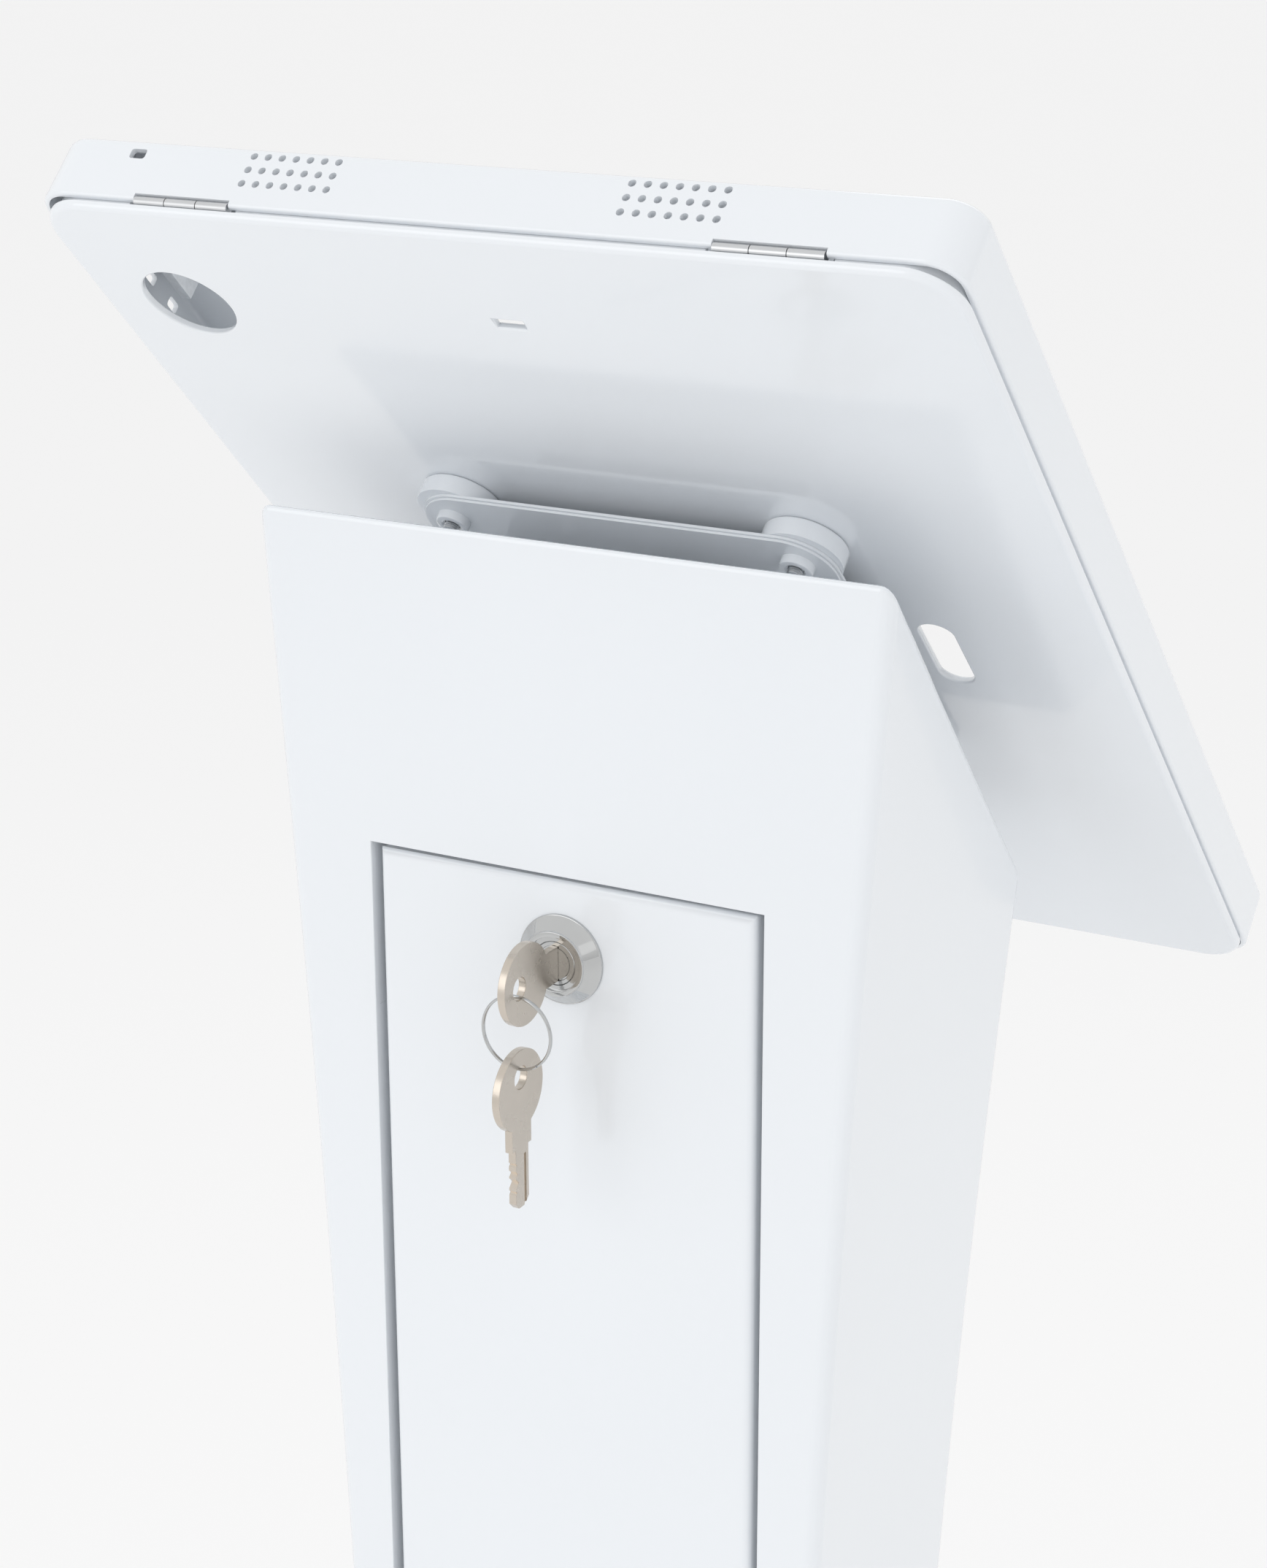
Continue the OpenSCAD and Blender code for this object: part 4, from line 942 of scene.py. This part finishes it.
def key_mesh(sizes):
    """One key with its bow's centre at the origin and its blade toward -x."""
    neck, blade = sizes.neck_w / 2, sizes.blade_w / 2
    shoulder, tip = -sizes.shoulder, -sizes.shoulder - sizes.blade_l
    bow = sizes.bow_d / 2
    reach = math.asin(neck / bow)
    steps = 72
    turns = [math.pi - reach - (math.tau - 2 * reach) * step / steps for step in range(steps + 1)]
    outline = [(bow * math.cos(turn), bow * math.sin(turn)) for turn in turns]
    outline += [(shoulder, -neck), (shoulder, -blade)]
    for index in range(6):
        notch = shoulder - (4 + index * 2.6) * MM
        depth = (0.55 + (index % 3) * 0.4) * MM
        if notch - depth > tip + 2.2 * MM:
            outline += [(notch + depth, -blade), (notch, -blade + depth), (notch - depth, -blade)]
    outline += [(tip + 1.6 * MM, -blade), (tip, -blade + 1.6 * MM), (tip, blade - 2 * MM),
                (tip + 2 * MM, blade), (shoulder, blade), (shoulder, neck)]
    bm = bmesh.new()
    half = sizes.key_t / 2
    bm.faces.new([bm.verts.new((x, y, -half)) for x, y in outline])
    raised = bmesh.ops.extrude_face_region(bm, geom=bm.faces[:])
    lifted = [item for item in raised["geom"] if isinstance(item, bmesh.types.BMVert)]
    bmesh.ops.translate(bm, vec=(0, 0, sizes.key_t), verts=lifted)
    bmesh.ops.recalc_face_normals(bm, faces=bm.faces)
    soften(bm, level_edges(bm, 2, half) + level_edges(bm, 2, -half), 0.22 * MM, 2)
    hole = Vector((sizes.bow_hole_out, 0, 0))
    groove = blade - 1.9 * MM
    mill = [block((tip - OVER, groove - 0.5 * MM, side * half - 0.4 * MM),
                  (shoulder - 2 * MM, groove + 0.5 * MM, side * half + 0.4 * MM)) for side in SIDES]
    carve(bm, [rod(sizes.bow_hole_d / 2, -OVER, OVER, 48, Matrix.Translation(hole)), *mill])
    for level in (-half, half):
        rims = ring_edges(bm, (*hole.xy, level), sizes.bow_hole_d * 0.55, level)
        soften(bm, rims, 0.2 * MM, 2)
    return bm


class KIOSK_OT_keys(bpy.types.Operator):
    """Makes the key in the lock and the spare key on the ring"""
    bl_idname = "kiosk.keys"
    bl_label = "Keys"

    def execute(self, context):
        sizes = context.scene.kiosk_lock
        upright = Matrix(((0, 0, 1, 0), (1, 0, 0, 0), (0, 1, 0, 0), (0, 0, 0, 1)))
        lock = middle("door_lock_plug")
        bow_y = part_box("door_key")[1].y - sizes.bow_d / 2
        place = Matrix.Translation((lock.x, bow_y, lock.z)) @ upright
        add_piece("door_key_cut", key_mesh(sizes), "door_lock", ["door_key"], "nickel", place)
        low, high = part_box("spare_key")
        place = (Matrix.Translation((lock.x, (low.y + high.y) / 2, high.z - sizes.bow_d / 2)) @ upright
                 @ Matrix.Rotation(math.radians(90), 4, "Z"))
        add_piece("spare_key_cut", key_mesh(sizes), "spare", ["spare_key"], "nickel", place)
        return {"FINISHED"}


class KIOSK_OT_key_ring(bpy.types.Operator):
    """Winds the split ring from two turns of wire"""
    bl_idname = "kiosk.key_ring"
    bl_label = "Split ring"

    def execute(self, context):
        sizes = context.scene.kiosk_lock
        wire = sizes.wire_d / 4
        bm = bmesh.new()
        bmesh.ops.create_circle(bm, cap_ends=True, segments=16, radius=wire,
                                matrix=Matrix.Translation((sizes.ring_r, 0, -wire))
                                @ Matrix.Rotation(math.radians(90), 4, "X"))
        turns, steps = 2, 144
        wound = math.tau * turns * 0.985    # stops a little short, so both wire ends show
        rise = (2 * wire) / steps
        bmesh.ops.spin(bm, geom=bm.faces[:], axis=(0, 0, 1), cent=(0, 0, 0), angle=wound,
                       steps=steps, dvec=(0, 0, rise), use_duplicate=False, use_merge=False)
        ends_at = Matrix.Rotation(2.4, 4, "Z")
        place = Matrix.Translation(middle("key_ring")) @ facing_rear() @ ends_at
        add_piece("split_ring", bm, "ring", ["key_ring"], "chrome", place)
        return {"FINISHED"}


# ---------------------------------------------------------------- carried-over parts and the stage

class KIOSK_OT_finishes(bpy.types.Operator):
    """Gives every carried-over part its finish"""
    bl_idname = "kiosk.finishes"
    bl_label = "Finishes"

    def execute(self, context):
        slots = {row["node"]: row["material_slot"] for row in frame["record"]["subparts"]}
        for name, node in frame["nodes"].items():
            node.data.materials.clear()
            node.data.materials.append(finish_of(slots[name]))
        return {"FINISHED"}


class KIOSK_OT_stage(bpy.types.Operator):
    """Adds the floor, the soft lights, the pale surround and the camera"""
    bl_idname = "kiosk.stage"
    bl_label = "Stage"

    def execute(self, context):
        stage = context.scene.kiosk_stage
        context.scene.view_settings.view_transform = "Standard"
        bm = bmesh.new()
        bmesh.ops.create_grid(bm, x_segments=1, y_segments=1, size=stage.floor_size / 2)
        mesh = bpy.data.meshes.new("floor")
        bm.to_mesh(mesh)
        bm.free()
        floor = bpy.data.objects.new("floor", mesh)
        mesh.materials.append(floor_paint(context.scene.kiosk_colours.floor))
        context.collection.objects.link(floor)
        add_camera(context, stage)
        for name, place, aim_z, size, power in (
                ("key_light", (0.85, 1.95, 1.55), 0.95, 1.3, stage.key_power),
                ("front_light", (0.3, -1.8, 2.3), 1.05, 1.2, stage.front_power),
                ("fill_light", (-1.9, 1.0, 1.9), 0.9, 1.0, stage.fill_power)):
            add_softbox(context, name, place, (0, 0, aim_z), size, power)
        self.surround(context, stage)
        return {"FINISHED"}

    def surround(self, context, stage):
        """A pale sky, a little darker toward the horizon."""
        world = context.scene.world or bpy.data.worlds.new("surround")
        context.scene.world = world
        world.use_nodes = True
        sky = Graph(world.node_tree)
        way = sky.node("ShaderNodeTexCoord", output="Generated")
        height = sky.node("ShaderNodeSeparateXYZ", None, {"Vector": way}, output=2)
        grade = sky.node("ShaderNodeValToRGB", {"stops": [(0.0, stage.horizon), (0.3, 1.0),
                                                          (1.0, stage.zenith)]}, {"Fac": height})
        background = world.node_tree.nodes["Background"]
        sky.put(background.inputs["Color"], grade)
        sky.put(background.inputs["Strength"], stage.surround)


def add_camera(context, stage):
    camera = bpy.data.cameras.new("camera")
    camera.lens = stage.lens
    camera.sensor_width = 36.0
    camera.sensor_fit = "AUTO"
    camera.clip_start = 0.05
    holder = bpy.data.objects.new("camera", camera)
    holder.location = stage.camera_place
    holder.rotation_euler = stage.camera_turn
    context.collection.objects.link(holder)
    context.scene.camera = holder


def add_softbox(context, name, place, target, size, power):
    light = bpy.data.lights.new(name, "AREA")
    light.shape = "SQUARE"
    light.size = size
    light.energy = power
    holder = bpy.data.objects.new(name, light)
    holder.location = place
    aim = Vector(target) - Vector(place)
    holder.rotation_euler = aim.to_track_quat("-Z", "Y").to_euler()
    context.collection.objects.link(holder)


# ---------------------------------------------------------------- panel and registration

class KIOSK_PT_sidebar(bpy.types.Panel):
    """Lists the kiosk's pieces"""
    bl_idname = "KIOSK_PT_sidebar"
    bl_label = "Kiosk"
    bl_space_type = "VIEW_3D"
    bl_region_type = "UI"
    bl_category = "Kiosk"

    def draw(self, context):
        for operator in OPERATORS:
            self.layout.operator(operator.bl_idname)


GROUPS = {"kiosk_enclosure": EnclosureSizes, "kiosk_mount": MountSizes, "kiosk_column": ColumnSizes,
          "kiosk_lock": LockSizes, "kiosk_colours": KioskColours, "kiosk_stage": StageSettings}
OPERATORS = (KIOSK_OT_base, KIOSK_OT_column, KIOSK_OT_door, KIOSK_OT_mount, KIOSK_OT_back_panel,
             KIOSK_OT_front_shell, KIOSK_OT_door_lock, KIOSK_OT_enclosure_lock, KIOSK_OT_keys,
             KIOSK_OT_key_ring, KIOSK_OT_finishes, KIOSK_OT_stage)


def register():
    for item in (*GROUPS.values(), *OPERATORS, KIOSK_PT_sidebar):
        bpy.utils.register_class(item)
    for name, group in GROUPS.items():
        setattr(bpy.types.Scene, name, PointerProperty(type=group))


def unregister():
    for name in GROUPS:
        delattr(bpy.types.Scene, name)
    for item in reversed((*GROUPS.values(), *OPERATORS, KIOSK_PT_sidebar)):
        bpy.utils.unregister_class(item)


def main():
    register()
    for operator in OPERATORS:
        getattr(bpy.ops.kiosk, operator.bl_idname.split(".")[1])()


if __name__ == "__main__":
    main()
